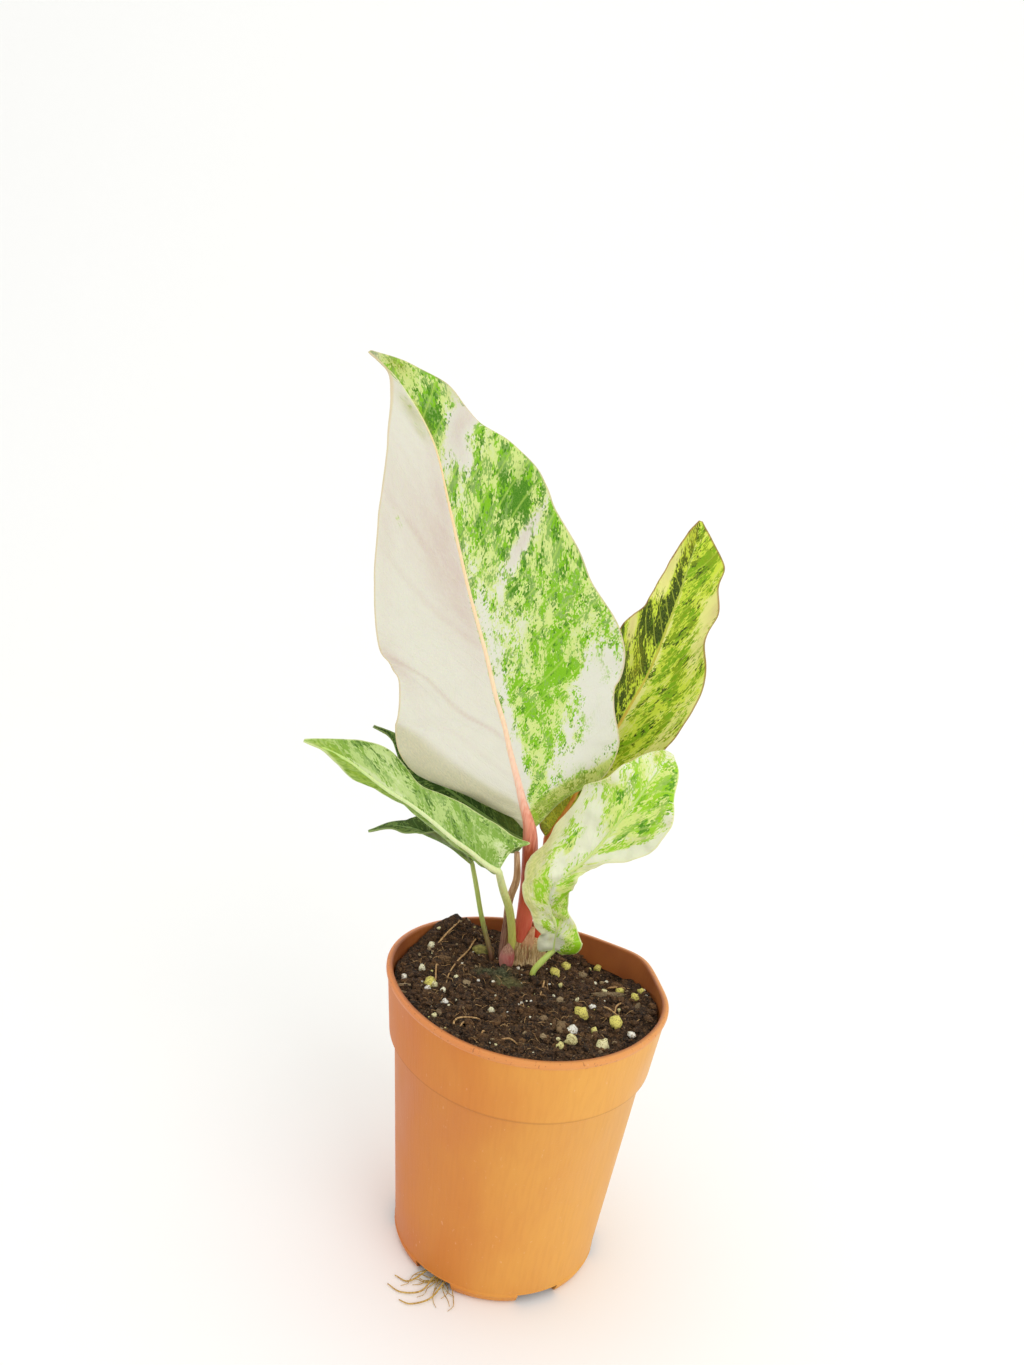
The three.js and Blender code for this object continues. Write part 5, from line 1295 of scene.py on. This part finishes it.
def make_blade(letter):
    """One blade: a grid shaped on the leaf's stations, given its thickness and smoothed."""
    leaf = LEAVES[letter]
    rows, half = leaf["grid"]
    columns = 2 * half
    blade = add_object(
        f"leaf_{letter}_blade", bpy.ops.mesh.primitive_grid_add,
        x_subdivisions=columns, y_subdivisions=rows, size=1,
    )
    mesh = blade.data
    flat = np.zeros(len(mesh.vertices) * 3)
    mesh.vertices.foreach_get("co", flat)
    flat = flat.reshape(-1, 3)
    i = np.rint((flat[:, 1] + 0.5) * rows).astype(int)
    j = np.rint((flat[:, 0] + 0.5) * columns).astype(int)
    u = np.linspace(0, 1, rows + 1)
    s = np.linspace(-1, 1, columns + 1)
    points, veins, rim = blade_points(leaf, u, s)
    places = points[i, j]
    normals = np.cross(np.gradient(points, axis=1), np.gradient(points, axis=0))
    normals = unit(normals)[i, j]
    # The pucker dies out at the midrib and at both ends.
    large, small = PUCKER_SIZES
    swell = np.array([
        noise.noise(Vector(p) / large) + 0.5 * noise.noise(Vector(p) / small) for p in places
    ])
    envelope = np.minimum(1, np.abs(s)[j] * 6) * np.sin(math.pi * u[i]) ** 0.4
    places = places + normals * (leaf["pucker"] * swell * envelope)[:, None]
    mesh.vertices.foreach_set("co", (places * MM).ravel())
    paint = mesh.attributes.new("paint", "FLOAT_COLOR", "POINT")
    paint.data.foreach_set("color", painted(letter, u, s)[i, j].ravel())
    mesh.attributes.new("rim", "FLOAT", "POINT").data.foreach_set("value", rim[i, j])
    layer = mesh.uv_layers[0]
    layer.name = "Veins"
    corner = np.zeros(len(mesh.loops), int)
    mesh.loops.foreach_get("vertex_index", corner)
    layer.uv.foreach_set("vector", veins[i, j][corner].ravel())
    # The blade is thinner towards its margin.
    group = blade.vertex_groups.new(name="body")
    margin = np.minimum((1 - np.abs(s)[j]) * 8, 1)
    for index, weight in enumerate(0.55 + 0.45 * margin):
        group.add([index], float(weight), "REPLACE")
    mesh.materials.append(leaf_material(letter))
    mesh.materials.append(leaf_material(letter, under=True))
    apply_modifier(
        blade, "SOLIDIFY", thickness=bpy.context.scene.anthurium_leaf.thickness, offset=0,
        vertex_group="body", thickness_vertex_group=0, material_offset=1, material_offset_rim=0,
    )
    apply_modifier(blade, "SUBSURF", levels=1, render_levels=1)
    blade.vertex_groups.clear()
    finish_piece(blade, LEAF_SLOT[letter], f"leaf_{letter}")


def make_rib(letter):
    """The stalk, which runs on as the midrib, stands out on both faces and ends at the tip."""
    leaf = LEAVES[letter]
    u = np.linspace(0, RIB_END, RIB_STATIONS)
    place, _, up, _ = leaf_frame(leaf, u)
    radius = smooth(leaf["rib_radius"], u)
    rib = place - up * (radius * RIB_SINK)[:, None]
    t = np.linspace(0, 1, STALK_STATIONS)
    stalk = smooth([*leaf["stalk"], tuple(rib[0])], t)[:-1]
    stalk_radius = smooth([*leaf["stalk_radius"], radius[0]], t)[:-1]
    path, radii = np.vstack([stalk, rib]), np.r_[stalk_radius, radius]
    made = tube(f"leaf_{letter}_stalk", path, radii, sides=20, steps=len(path) * 2)
    finish_piece(made, LEAF_SLOT[letter], f"leaf_{letter}", material=rib_material(letter))


class ANTHURIUM_OT_leaf(bpy.types.Operator):
    """Model one leaf: its variegated blade, and its stalk with the midrib"""

    bl_idname = "anthurium.leaf"
    bl_label = "Leaf"
    bl_options = {"REGISTER", "UNDO"}

    letter: EnumProperty(
        name="Leaf", description="Which leaf to model",
        items=[(key, "Leaf " + key.upper(), "") for key in LEAVES], default="a",
    )

    def execute(self, context):
        make_blade(self.letter)
        make_rib(self.letter)
        return {"FINISHED"}


def pot_stretch(angle, z):
    """How far the thin pot is squeezed out of round: nothing at the foot, most at the rim."""
    level = np.clip(z / POT_HEIGHT, 0, 1)
    oval = sum(depth * np.sin(count * angle) for count, depth in POT_WAVES)
    dent = 0
    for centre, reach, depth in POT_DENTS:
        away = (angle - centre + math.pi) % (2 * math.pi) - math.pi
        dent = dent + depth * np.exp(-((away / reach) ** 2))
    return 1 + level * oval + level ** 6 * dent


def inside_radius(z):
    """The radius of the wall's inside at a height, before the squeeze."""
    return np.interp(z, [level for _, level in INSIDE], [radius for radius, _ in INSIDE])


def stretched(made):
    """A mesh's points in millimetres, with the squeeze at each."""
    points = np.zeros(len(made.data.vertices) * 3)
    made.data.vertices.foreach_get("co", points)
    points = points.reshape(-1, 3) / MM
    return points, pot_stretch(np.arctan2(points[:, 1], points[:, 0]), points[:, 2])


def put_in_order(made):
    """Gives a mesh's points and faces an order that is the same on every run."""
    mesh = made.data
    points = [tuple(v.co) for v in mesh.vertices]
    order = sorted(range(len(points)), key=lambda k: points[k])
    rank = {old: new for new, old in enumerate(order)}
    faces = []
    for polygon in mesh.polygons:
        face = [rank[v] for v in polygon.vertices]
        first = face.index(min(face))
        faces.append(face[first:] + face[:first])
    mesh.clear_geometry()
    mesh.from_pydata([points[k] for k in order], [], sorted(faces))


class ANTHURIUM_OT_pot(bpy.types.Operator):
    """Spin the pot's profile, push it out of round and cut its drain slots"""

    bl_idname = "anthurium.pot"
    bl_label = "Nursery pot"
    bl_options = {"REGISTER", "UNDO"}

    def execute(self, context):
        profile = [*OUTSIDE, *reversed(INSIDE), (0, POT_FLOOR)]
        edges = [(k, k + 1) for k in range(len(profile) - 1)]
        pot = object_from("pot_shell", [(r, 0, z) for r, z in profile], [], edges)
        pick(pot)
        bpy.ops.object.mode_set(mode="EDIT")
        bpy.ops.mesh.select_all(action="SELECT")
        steps = context.scene.anthurium_pot.steps
        bpy.ops.mesh.spin(steps=steps, angle=2 * math.pi, center=(0, 0, 0), axis=(0, 0, 1))
        bpy.ops.mesh.select_all(action="SELECT")
        bpy.ops.mesh.remove_doubles(threshold=0.02 * MM)
        bpy.ops.mesh.normals_make_consistent(inside=False)
        bpy.ops.object.mode_set(mode="OBJECT")
        put_in_order(pot)
        points, stretch = stretched(pot)
        points[:, :2] *= stretch[:, None]
        pot.data.vertices.foreach_set("co", (points * MM).ravel())
        for k in range(SLOTS):
            self.cut_slot(pot, SLOT_ANGLE + 2 * math.pi * k / SLOTS)
        put_in_order(pot)
        points, stretch = stretched(pot)
        radius = np.hypot(points[:, 0], points[:, 1]) / stretch
        within = radius < inside_radius(points[:, 2]) + 0.3 * POT_WALL
        within &= points[:, 2] > POT_FLOOR - 0.1
        # The inside of the wall is marked for the painted shade that browns it.
        inside = pot.data.attributes.new("inside", "FLOAT", "POINT")
        inside.data.foreach_set("value", within.astype(float))
        finish_piece(pot, "pot_plastic", "pot", material=pot_material())
        pick(pot)
        bpy.ops.object.shade_smooth_by_angle(angle=math.radians(32))
        return {"FINISHED"}

    def cut_slot(self, pot, turn):
        """Cuts one drain slot through the corner of the foot."""
        out = SLOT_MIDDLE_RADIUS * MM
        cutter = add_object(
            "slot_cutter", bpy.ops.mesh.primitive_cube_add, size=1, rotation=(0, 0, turn),
            location=(out * math.cos(turn), out * math.sin(turn), 0),
            scale=[length * MM for length in SLOT_SIZE],
        )
        apply_modifier(pot, "BOOLEAN", operation="DIFFERENCE", object=cutter, solver="EXACT")
        bpy.data.objects.remove(cutter)


def soil_top(x, y):
    """The soil's uneven top: level, with its mound, its hollow, and lumps."""
    top = SOIL_LEVEL
    for at_x, at_y, reach_x, reach_y, height in SOIL_MOUNDS:
        top = top + height * np.exp(-(((x - at_x) / reach_x) ** 2) - ((y - at_y) / reach_y) ** 2)
    top = top + SOIL_SLOPE * y
    large = 0.7 * np.sin(x * 0.33 + 1.3) * np.sin(y * 0.29 + 0.4)
    small = 0.6 * np.sin(x * 0.83 + y * 0.51) * np.cos(y * 0.77 - x * 0.36)
    return float(top + large + small)


def soil_surface(x, y):
    """The height of the crumbled soil, and how much of it is the crumbs."""
    crumbs = 0
    for layer, size, roughness, gap, octaves, height in CRUMB_LAYERS:
        place = Vector((x, y, layer)) / size
        crumbs += height * noise.fractal(place, roughness, gap, octaves)
    return soil_top(x, y), crumbs


def soil_tint(x, y, bark, pale):
    """The tint of a place on the soil: bark, pale and alga shares, and how olive the alga is."""
    alga = olive = 0.0
    for at_x, at_y, reach_x, reach_y, yellow in ALGAE:
        share = math.exp(-(((x - at_x) / reach_x) ** 4) - ((y - at_y) / reach_y) ** 4)
        if share > alga:
            alga, olive = share, yellow
    patchy = 0.5 + 0.5 * noise.noise(Vector((x, y, 5)) / 2.5)
    return bark, pale, alga * (0.5 + 0.5 * patchy), olive


def clear_of_stems(x, y):
    """True where no stem, crown or bud stands."""
    return all(math.hypot(x - at_x, y - at_y) > radius for at_x, at_y, radius in STEMS)


def scattered(dice, radius):
    """A place on the soil within a radius, where no stem, crown or bud stands."""
    while True:
        turn = dice.uniform(0, 2 * math.pi)
        reach = radius * math.sqrt(dice.random())
        x, y = reach * math.cos(turn), reach * math.sin(turn)
        if clear_of_stems(x, y):
            return x, y


def tinted(made, colours):
    """Keeps a tint for each point of a mesh."""
    attribute = made.data.attributes.new("tint", "FLOAT_COLOR", "POINT")
    attribute.data.foreach_set("color", np.asarray(colours, float).ravel())


def lumps(name, places, fineness=1, uneven=0.4):
    """Many small uneven lumps in one piece: each a place, radii, a tilt, a turn and a tint."""
    operator = bpy.ops.mesh.primitive_ico_sphere_add
    model = add_object("lump_model", operator, subdivisions=fineness, radius=1)
    base = np.array([v.co for v in model.data.vertices])
    faces = [tuple(p.vertices) for p in model.data.polygons]
    bpy.data.objects.remove(model)
    dice = random.Random(name)
    points, all_faces, tints = [], [], []
    for centre, radii, tilt, turn, tint in places:
        rough = np.array([1 + uneven * (dice.random() - 0.5) for _ in base])[:, None]
        body = base * rough * np.array(radii)
        matrix = np.array(Matrix.Rotation(turn, 3, "Z") @ Matrix.Rotation(tilt, 3, "X"))
        start = len(points) * len(base)
        points.append(body @ matrix.T + np.array(centre))
        all_faces += [tuple(v + start for v in face) for face in faces]
        tints += [tint] * len(base)
    made = object_from(name, np.vstack(points), all_faces)
    tinted(made, tints)
    return made


class ANTHURIUM_OT_soil(bpy.types.Operator):
    """Fill the pot with potting mix, its crumbs, grains, bark chips and roots"""

    bl_idname = "anthurium.soil"
    bl_label = "Potting mix"
    bl_options = {"REGISTER", "UNDO"}

    def execute(self, context):
        settings = context.scene.anthurium_soil
        mix = soil_material()
        self.body(mix)
        self.crumbs(mix, settings.crumbs)
        self.chips(mix)
        self.grains()
        self.knuckle()
        self.roots(settings.fibres)
        return {"FINISHED"}

    def body(self, mix):
        """The mix as one closed body: up the wall, then inwards over the crumbled top."""
        angle = np.linspace(0, 2 * math.pi, SOIL_SIDES, endpoint=False)
        around = np.stack([np.cos(angle), np.sin(angle)], 1)
        points = []
        for z in SOIL_LEVELS:
            edge = inside_radius(z) * pot_stretch(angle, z) - SOIL_GAP
            points += [(x, y, z) for x, y in around * edge[:, None]]
        for k in range(SOIL_RINGS, 0, -1):
            # The crumbs are lower where they lie against the wall.
            calm = 0.4 if k == SOIL_RINGS else 1
            for x, y in around * (edge * (k / SOIL_RINGS))[:, None]:
                top, crumbs = soil_surface(x, y)
                points.append((x, y, top + calm * crumbs))
        faces = ring_faces(len(SOIL_LEVELS) + SOIL_RINGS, SOIL_SIDES)
        soil = object_from("soil_mix", points, faces)
        tints = []
        for x, y, z in points:
            bark = 0.4 * max(0, noise.noise(Vector((x, y, z)) / 5)) if z > SHOULDER else 0
            tints.append(soil_tint(x, y, bark, 0))
        tinted(soil, tints)
        face_outwards(soil)
        finish_piece(soil, "potting_mix", "soil", material=mix)

    def crumbs(self, mix, count):
        """Loose crumbs and bark bits, from dust to lentil size, in a seeded scatter."""
        dice = random.Random(11)
        places = []
        for _ in range(count):
            x, y = scattered(dice, CRUMB_REACH)
            size = 0.22 + 0.6 * dice.random() ** 2
            size += dice.uniform(0.3, 1.3) if dice.random() < 0.08 else 0
            radii = (size * dice.uniform(1, 2.2), size, size * dice.uniform(0.5, 0.9))
            bark = dice.random() ** 3
            pale = dice.uniform(0.3, 0.9) if dice.random() < 0.03 else 0
            place = (x, y, sum(soil_surface(x, y)) + size * 0.15)
            tilt, turn = dice.uniform(-0.6, 0.6), dice.uniform(0, math.pi)
            places.append((place, radii, tilt, turn, soil_tint(x, y, bark, pale)))
        # Mix that has come out at the mouth of the front left slot.
        x, y, z = DRAIN_ROOTS[0][0]
        for _ in range(SLOT_CRUMBS):
            size = dice.uniform(0.3, 0.9)
            spread = (dice.uniform(-4, 4), dice.uniform(-2.5, 1), dice.uniform(0, 1.5))
            place = (x + spread[0], y + spread[1], size + spread[2])
            radii = (size * 1.4, size, size)
            places.append((place, radii, 0, dice.uniform(0, 3), (0.3, 0, 0, 0)))
        made = lumps("soil_crumbs", places)
        finish_piece(made, "potting_mix", "soil", material=mix)
        pick(made)
        bpy.ops.object.shade_flat()

    def chips(self, mix):
        """The bark chips that show, as flat worn splinters."""
        places = []
        for x, y, length, width, turn, tint in CHIPS:
            radii = (length / 2, width / 2, CHIP_THICKNESS / 2)
            place = (x, y, soil_top(x, y) + 0.6)
            places.append((place, radii, 0.1, math.radians(turn), (*tint, 0)))
        made = lumps("bark_chips", places, fineness=3)
        finish_piece(made, "potting_mix", "soil", material=mix)

    def grains(self):
        """The white and yellow grains, at the places where they show, and a few strays."""
        perlite = grain_material()
        dice = random.Random(5)
        places = []
        for x, y, radius, yellow in GRAINS:
            top, crumbs = soil_surface(x, y)
            radii = tuple(radius * dice.uniform(0.85, 1.2) for _ in range(3))
            tilt, turn = dice.uniform(0, 2), dice.uniform(0, 3)
            place = (x, y, top + max(0.5 * radius, crumbs))
            places.append((place, radii, tilt, turn, (yellow, 0, 0, 0)))
        made = lumps("perlite_grains", places, fineness=2, uneven=0.55)
        finish_piece(made, "potting_mix", "soil", material=perlite)
        places = []
        while len(places) < STRAY_GRAINS:
            x, y = dice.uniform(-STRAY_BOX, STRAY_BOX), dice.uniform(-STRAY_BOX, STRAY_BOX)
            if math.hypot(x, y) > STRAY_REACH or not clear_of_stems(x, y):
                continue
            size = dice.uniform(0.3, 0.7)
            place = (x, y, sum(soil_surface(x, y)) + 0.3)
            turn = dice.uniform(0, 3)
            places.append((place, (size, size, size * 0.8), 0, turn, (dice.random(), 0, 0, 0)))
        made = lumps("fine_perlite", places, uneven=0.55)
        finish_piece(made, "potting_mix", "soil", material=perlite)

    def knuckle(self):
        """The piece of old stem that lies in the mix, from a sphere."""
        x, y = KNUCKLE_PLACE
        operator = bpy.ops.mesh.primitive_ico_sphere_add
        knuckle = add_object("stem_knuckle", operator, subdivisions=4, radius=1)
        middle = Vector((x, y, soil_top(x, y)))
        for v in knuckle.data.vertices:
            grow = 1 + 0.12 * noise.noise(v.co * 2.5)
            v.co = Vector([c * r * grow for c, r in zip(v.co, KNUCKLE_RADII)]) + middle
            v.co *= MM
        finish_piece(knuckle, "potting_mix", "soil", material=fibre_material("old green stem"))

    def roots(self, count):
        """The roots that show, and fine fibres in a seeded scatter."""
        dice = random.Random(23)
        dry = fibre_material("dry root")
        paths = []
        for places in ROOTS:
            last = len(places) - 1
            lift = [-1 if i in (0, last) else ROOT_RADIUS + 0.6 for i in range(last + 1)]
            paths.append([(x, y, soil_top(x, y) + up) for (x, y), up in zip(places, lift)])
        radii = [taper(ROOT_RADIUS)] * len(paths)
        made = strands("roots", paths, radii, sides=8, steps=24)
        finish_piece(made, "potting_mix", "soil", material=dry)
        paths = []
        while len(paths) < count:
            x, y = scattered(dice, FIBRE_REACH)
            way = dice.uniform(0, 2 * math.pi)
            path = []
            for lift in FIBRE_LIFT:
                path.append((x, y, sum(soil_surface(x, y)) + lift))
                way += dice.uniform(-0.8, 0.8)
                x += FIBRE_STRIDE * math.cos(way)
                y += FIBRE_STRIDE * math.sin(way)
            if math.hypot(x, y) < FIBRE_LIMIT:
                paths.append(path)
        made = strands("fine_roots", paths, [FIBRE_RADII] * len(paths), sides=4, steps=8)
        finish_piece(made, "potting_mix", "soil", material=dry)
        self.drain_roots(dice)

    def drain_roots(self, dice):
        """The roots out of the slot: the measured ones, and finer ones that follow them."""
        paths = list(DRAIN_ROOTS)
        for _ in range(FINE_DRAIN_ROOTS):
            x, y, z = DRAIN_ROOTS[0][0]
            x, y = x + dice.uniform(-3, 5), y + dice.uniform(-3, 2)
            way = math.radians(dice.uniform(-160, -85))
            path = []
            for _ in range(7):
                path.append((x, y, max(0.4, z + dice.uniform(-0.4, 0.4))))
                way += dice.uniform(-0.7, 0.7)
                x += DRAIN_ROOT_STRIDE * math.cos(way)
                y += DRAIN_ROOT_STRIDE * math.sin(way)
                z *= 0.7
            paths.append(path)
        radii = [taper(DRAIN_ROOT_RADIUS)] * len(DRAIN_ROOTS)
        radii += [FINE_DRAIN_ROOT_RADII] * FINE_DRAIN_ROOTS
        made = strands("drain_roots", paths, radii, sides=8, steps=24)
        finish_piece(made, "potting_mix", "soil", material=fibre_material("yellow root"))


def strip(name, spec, rows=24, columns=8):
    """A thin upright strip, curled to the front, from a grid that is given its thickness."""
    operator = bpy.ops.mesh.primitive_grid_add
    made = add_object(name, operator, x_subdivisions=columns, y_subdivisions=rows, size=1)
    for v in made.data.vertices:
        t = np.array([v.co.y + 0.5])
        k = v.co.x * 2
        x, y, z = smooth(spec["path"], t)[0]
        reach = float(smooth(spec["half_width"], t)[0])
        ragged = 0.25 * noise.noise(Vector((k * 3, t[0] * 9, 1)))
        front = y + spec["curl"] * (k * k - 0.5) + ragged
        v.co = Vector((x + k * reach, front, z + 1.2 * ragged * t[0])) * MM
    apply_modifier(made, "SOLIDIFY", thickness=spec["thickness"] * MM, offset=0)
    apply_modifier(made, "SUBSURF", levels=1, render_levels=1)
    face_outwards(made)
    return made


def turned_lump(name, place, radius, top, shape, ripple, sides=64, rings=40):
    """A turned lump with an uneven side, from the floor of the holes up."""
    x, y = place
    t = np.linspace(0, 1, rings + 1)
    share = smooth(shape, t)
    points = []
    for i, level in enumerate(t):
        z = HOLE_FLOOR + (top - HOLE_FLOOR) * level
        for a in np.linspace(0, 2 * math.pi, sides, endpoint=False):
            rough = noise.noise(Vector((math.cos(a) * 3, math.sin(a) * 3, level * 2)))
            wave = 1 - ripple + ripple * math.sin(a * 5 + i * 0.2) + ripple * rough
            reach = radius * share[i] * wave
            points.append((x + reach * math.cos(a), y + reach * math.sin(a), z))
    made = object_from(name, points, ring_faces(rings + 1, sides))
    face_outwards(made)
    return made


class ANTHURIUM_OT_crown(bpy.types.Operator):
    """Model the short fibrous stem, its dry flap, the bud, the sheath and the dried stalk"""

    bl_idname = "anthurium.crown"
    bl_label = "Crown and bud"
    bl_options = {"REGISTER", "UNDO"}

    def execute(self, context):
        tan = fibre_material("dry stem fibre")
        crown = turned_lump(
            "stem_crown", CROWN_PLACE, CROWN_RADIUS, CROWN_TOP, CROWN_SHAPE, CROWN_RIPPLE,
        )
        finish_piece(crown, "crown", "crown", material=tan)
        self.fibres(tan)
        flap = strip("stem_flap", CROWN_FLAP)
        finish_piece(flap, "crown", "crown", material=fibre_material("dry peach sheath"))
        bud = turned_lump(
            "bud_body", BUD_PLACE, BUD_RADIUS, BUD_HIGH.z / MM, BUD_SHAPE, BUD_RIPPLE,
        )
        finish_piece(bud, "bud", "bud", material=bud_material())
        sheath = strip("papery_sheath", SHEATH)
        finish_piece(sheath, "sheath", "sheath", material=fibre_material("papery sheath"))
        stalk = tube("dried_stalk", OLD_STALK, OLD_STALK_RADIUS, sides=20, steps=50)
        finish_piece(stalk, "old_stalk", "old_stalk", material=fibre_material("dried stalk"))
        return {"FINISHED"}

    def fibres(self, material):
        """Loose fibres that lie over the crown's front and fan out at its foot."""
        dice = random.Random(3)
        x, y = CROWN_PLACE
        paths = []
        for _ in range(CROWN_FIBRES):
            turn = dice.uniform(-math.pi, 0.6)
            lean = dice.uniform(-0.25, 0.25)
            path = []
            for step in range(4):
                z = CROWN_FIBRE_FOOT + step * dice.uniform(2.4, 3.6)
                fan = 1.2 if step == 0 else 0
                draw_in = 0.05 * max(0, z - CROWN_SHOULDER) ** 1.5
                reach = CROWN_RADIUS + 0.25 + fan - draw_in + dice.uniform(-0.2, 0.3)
                a = turn + lean * step * 0.35
                path.append((x + reach * math.cos(a), y + reach * math.sin(a), z))
            paths.append(path)
        radii = [CROWN_FIBRE_RADII] * len(paths)
        made = strands("stem_fibres", paths, radii, sides=4, steps=8)
        finish_piece(made, "crown", "crown", material=material)


class ANTHURIUM_OT_stage(bpy.types.Operator):
    """Lay the pale floor, hang the soft lights and place the camera"""

    bl_idname = "anthurium.stage"
    bl_label = "Stage"
    bl_options = {"REGISTER", "UNDO"}

    def execute(self, context):
        settings = context.scene.anthurium_stage
        self.sweep(settings)
        for name, place, size, share in LIGHTS:
            self.light(name, place, size, settings.key * share)
        world = bpy.data.worlds.new("white room")
        context.scene.world = world
        world.use_nodes = True
        air = world.node_tree.nodes["Background"]
        air.inputs["Color"].default_value = (1, 1, 1, 1)
        air.inputs["Strength"].default_value = settings.sky
        context.scene.view_settings.view_transform = "Standard"
        self.camera(context)
        return {"FINISHED"}

    def sweep(self, settings):
        """A plain white floor that turns up behind the pot in a wide bend."""
        wide, back, high = SWEEP
        operator = bpy.ops.mesh.primitive_plane_add
        floor = add_object("floor", operator, size=2 * wide, location=(0, back - wide, 0))
        bpy.ops.object.transform_apply(location=True, rotation=False, scale=False)
        self.select_back(floor, back)
        bpy.ops.mesh.extrude_region_move(TRANSFORM_OT_translate={"value": (0, 0, high)})
        bpy.ops.object.mode_set(mode="OBJECT")
        self.select_back(floor, back)
        bend, segments = SWEEP_BEND
        bpy.ops.mesh.bevel(offset=bend, segments=segments, affect="EDGES")
        bpy.ops.object.mode_set(mode="OBJECT")
        bpy.ops.object.shade_smooth()
        material, shader, _ = new_material("matt white paper", 0.95, Specular_IOR_Level=0.1)
        shader.inputs["Base Color"].default_value = tuple(settings.floor)
        floor.data.materials.append(material)

    def select_back(self, floor, back):
        """Goes to edit mode with the floor's back edge alone selected."""
        bpy.ops.object.mode_set(mode="EDIT")
        bpy.ops.mesh.select_mode(type="EDGE")
        bpy.ops.mesh.select_all(action="DESELECT")
        bpy.ops.object.mode_set(mode="OBJECT")
        for edge in floor.data.edges:
            ends = [floor.data.vertices[v].co for v in edge.vertices]
            edge.select = all(end.y > back - 0.01 and end.z < 0.01 for end in ends)
        bpy.ops.object.mode_set(mode="EDIT")

    def light(self, name, place, size, power):
        """A square soft light that looks at the plant."""
        lamp = add_object(name, bpy.ops.object.light_add, type="AREA", location=place)
        lamp.data.energy = power
        lamp.data.size = size
        aim = Vector(LIGHT_AIM) - Vector(place)
        lamp.rotation_euler = aim.to_track_quat("-Z", "Y").to_euler()

    def camera(self, context):
        """The camera at the photograph's place, angle and roll."""
        pitch, yaw, roll = (math.radians(v) for v in (CAMERA_PITCH, CAMERA_YAW, CAMERA_ROLL))
        flat = math.cos(pitch)
        ahead = Vector((math.sin(yaw) * flat, math.cos(yaw) * flat, -math.sin(pitch)))
        level = Vector((math.cos(yaw), -math.sin(yaw), 0))
        upright = level.cross(ahead)
        right = level * math.cos(roll) + upright * math.sin(roll)
        up = upright * math.cos(roll) - level * math.sin(roll)
        camera = add_object("camera", bpy.ops.object.camera_add, location=CAMERA_PLACE)
        turn = Matrix((right, up, -ahead)).transposed().to_4x4()
        camera.matrix_world = Matrix.Translation(CAMERA_PLACE) @ turn
        camera.data.lens = CAMERA_LENS
        camera.data.sensor_width = CAMERA_SENSOR
        camera.data.clip_start = 0.01
        context.scene.camera = camera


SETTINGS = {
    "anthurium_pot": PotSettings,
    "anthurium_soil": SoilSettings,
    "anthurium_leaf": LeafSettings,
    "anthurium_stage": StageSettings,
}
OPERATORS = (
    ANTHURIUM_OT_stage, ANTHURIUM_OT_pot, ANTHURIUM_OT_soil, ANTHURIUM_OT_crown, ANTHURIUM_OT_leaf,
)


class ANTHURIUM_PT_panel(bpy.types.Panel):
    """Sizes, colours and buttons in the sidebar."""

    bl_idname = "ANTHURIUM_PT_panel"
    bl_label = "Potted Anthurium"
    bl_space_type = "VIEW_3D"
    bl_region_type = "UI"
    bl_category = "Anthurium"

    def draw(self, context):
        layout = self.layout
        for group in SETTINGS:
            settings = getattr(context.scene, group)
            box = layout.box()
            for field in settings.bl_rna.properties.keys():
                if field not in ("rna_type", "name"):
                    box.prop(settings, field)
        for operator in OPERATORS:
            layout.operator(operator.bl_idname)


CLASSES = (*SETTINGS.values(), *OPERATORS, ANTHURIUM_PT_panel)


def register():
    """Registers the classes and gives the scene their settings."""
    for cls in CLASSES:
        bpy.utils.register_class(cls)
    for name, group in SETTINGS.items():
        setattr(bpy.types.Scene, name, PointerProperty(type=group))


def unregister():
    """Takes the settings and the classes away again."""
    for name in SETTINGS:
        delattr(bpy.types.Scene, name)
    for cls in reversed(CLASSES):
        bpy.utils.unregister_class(cls)


def main():
    """Builds the stage and the plant."""
    register()
    bpy.ops.anthurium.stage()
    bpy.ops.anthurium.pot()
    bpy.ops.anthurium.soil()
    bpy.ops.anthurium.crown()
    for letter in LEAVES:
        bpy.ops.anthurium.leaf(letter=letter)


if __name__ == "__main__":
    main()
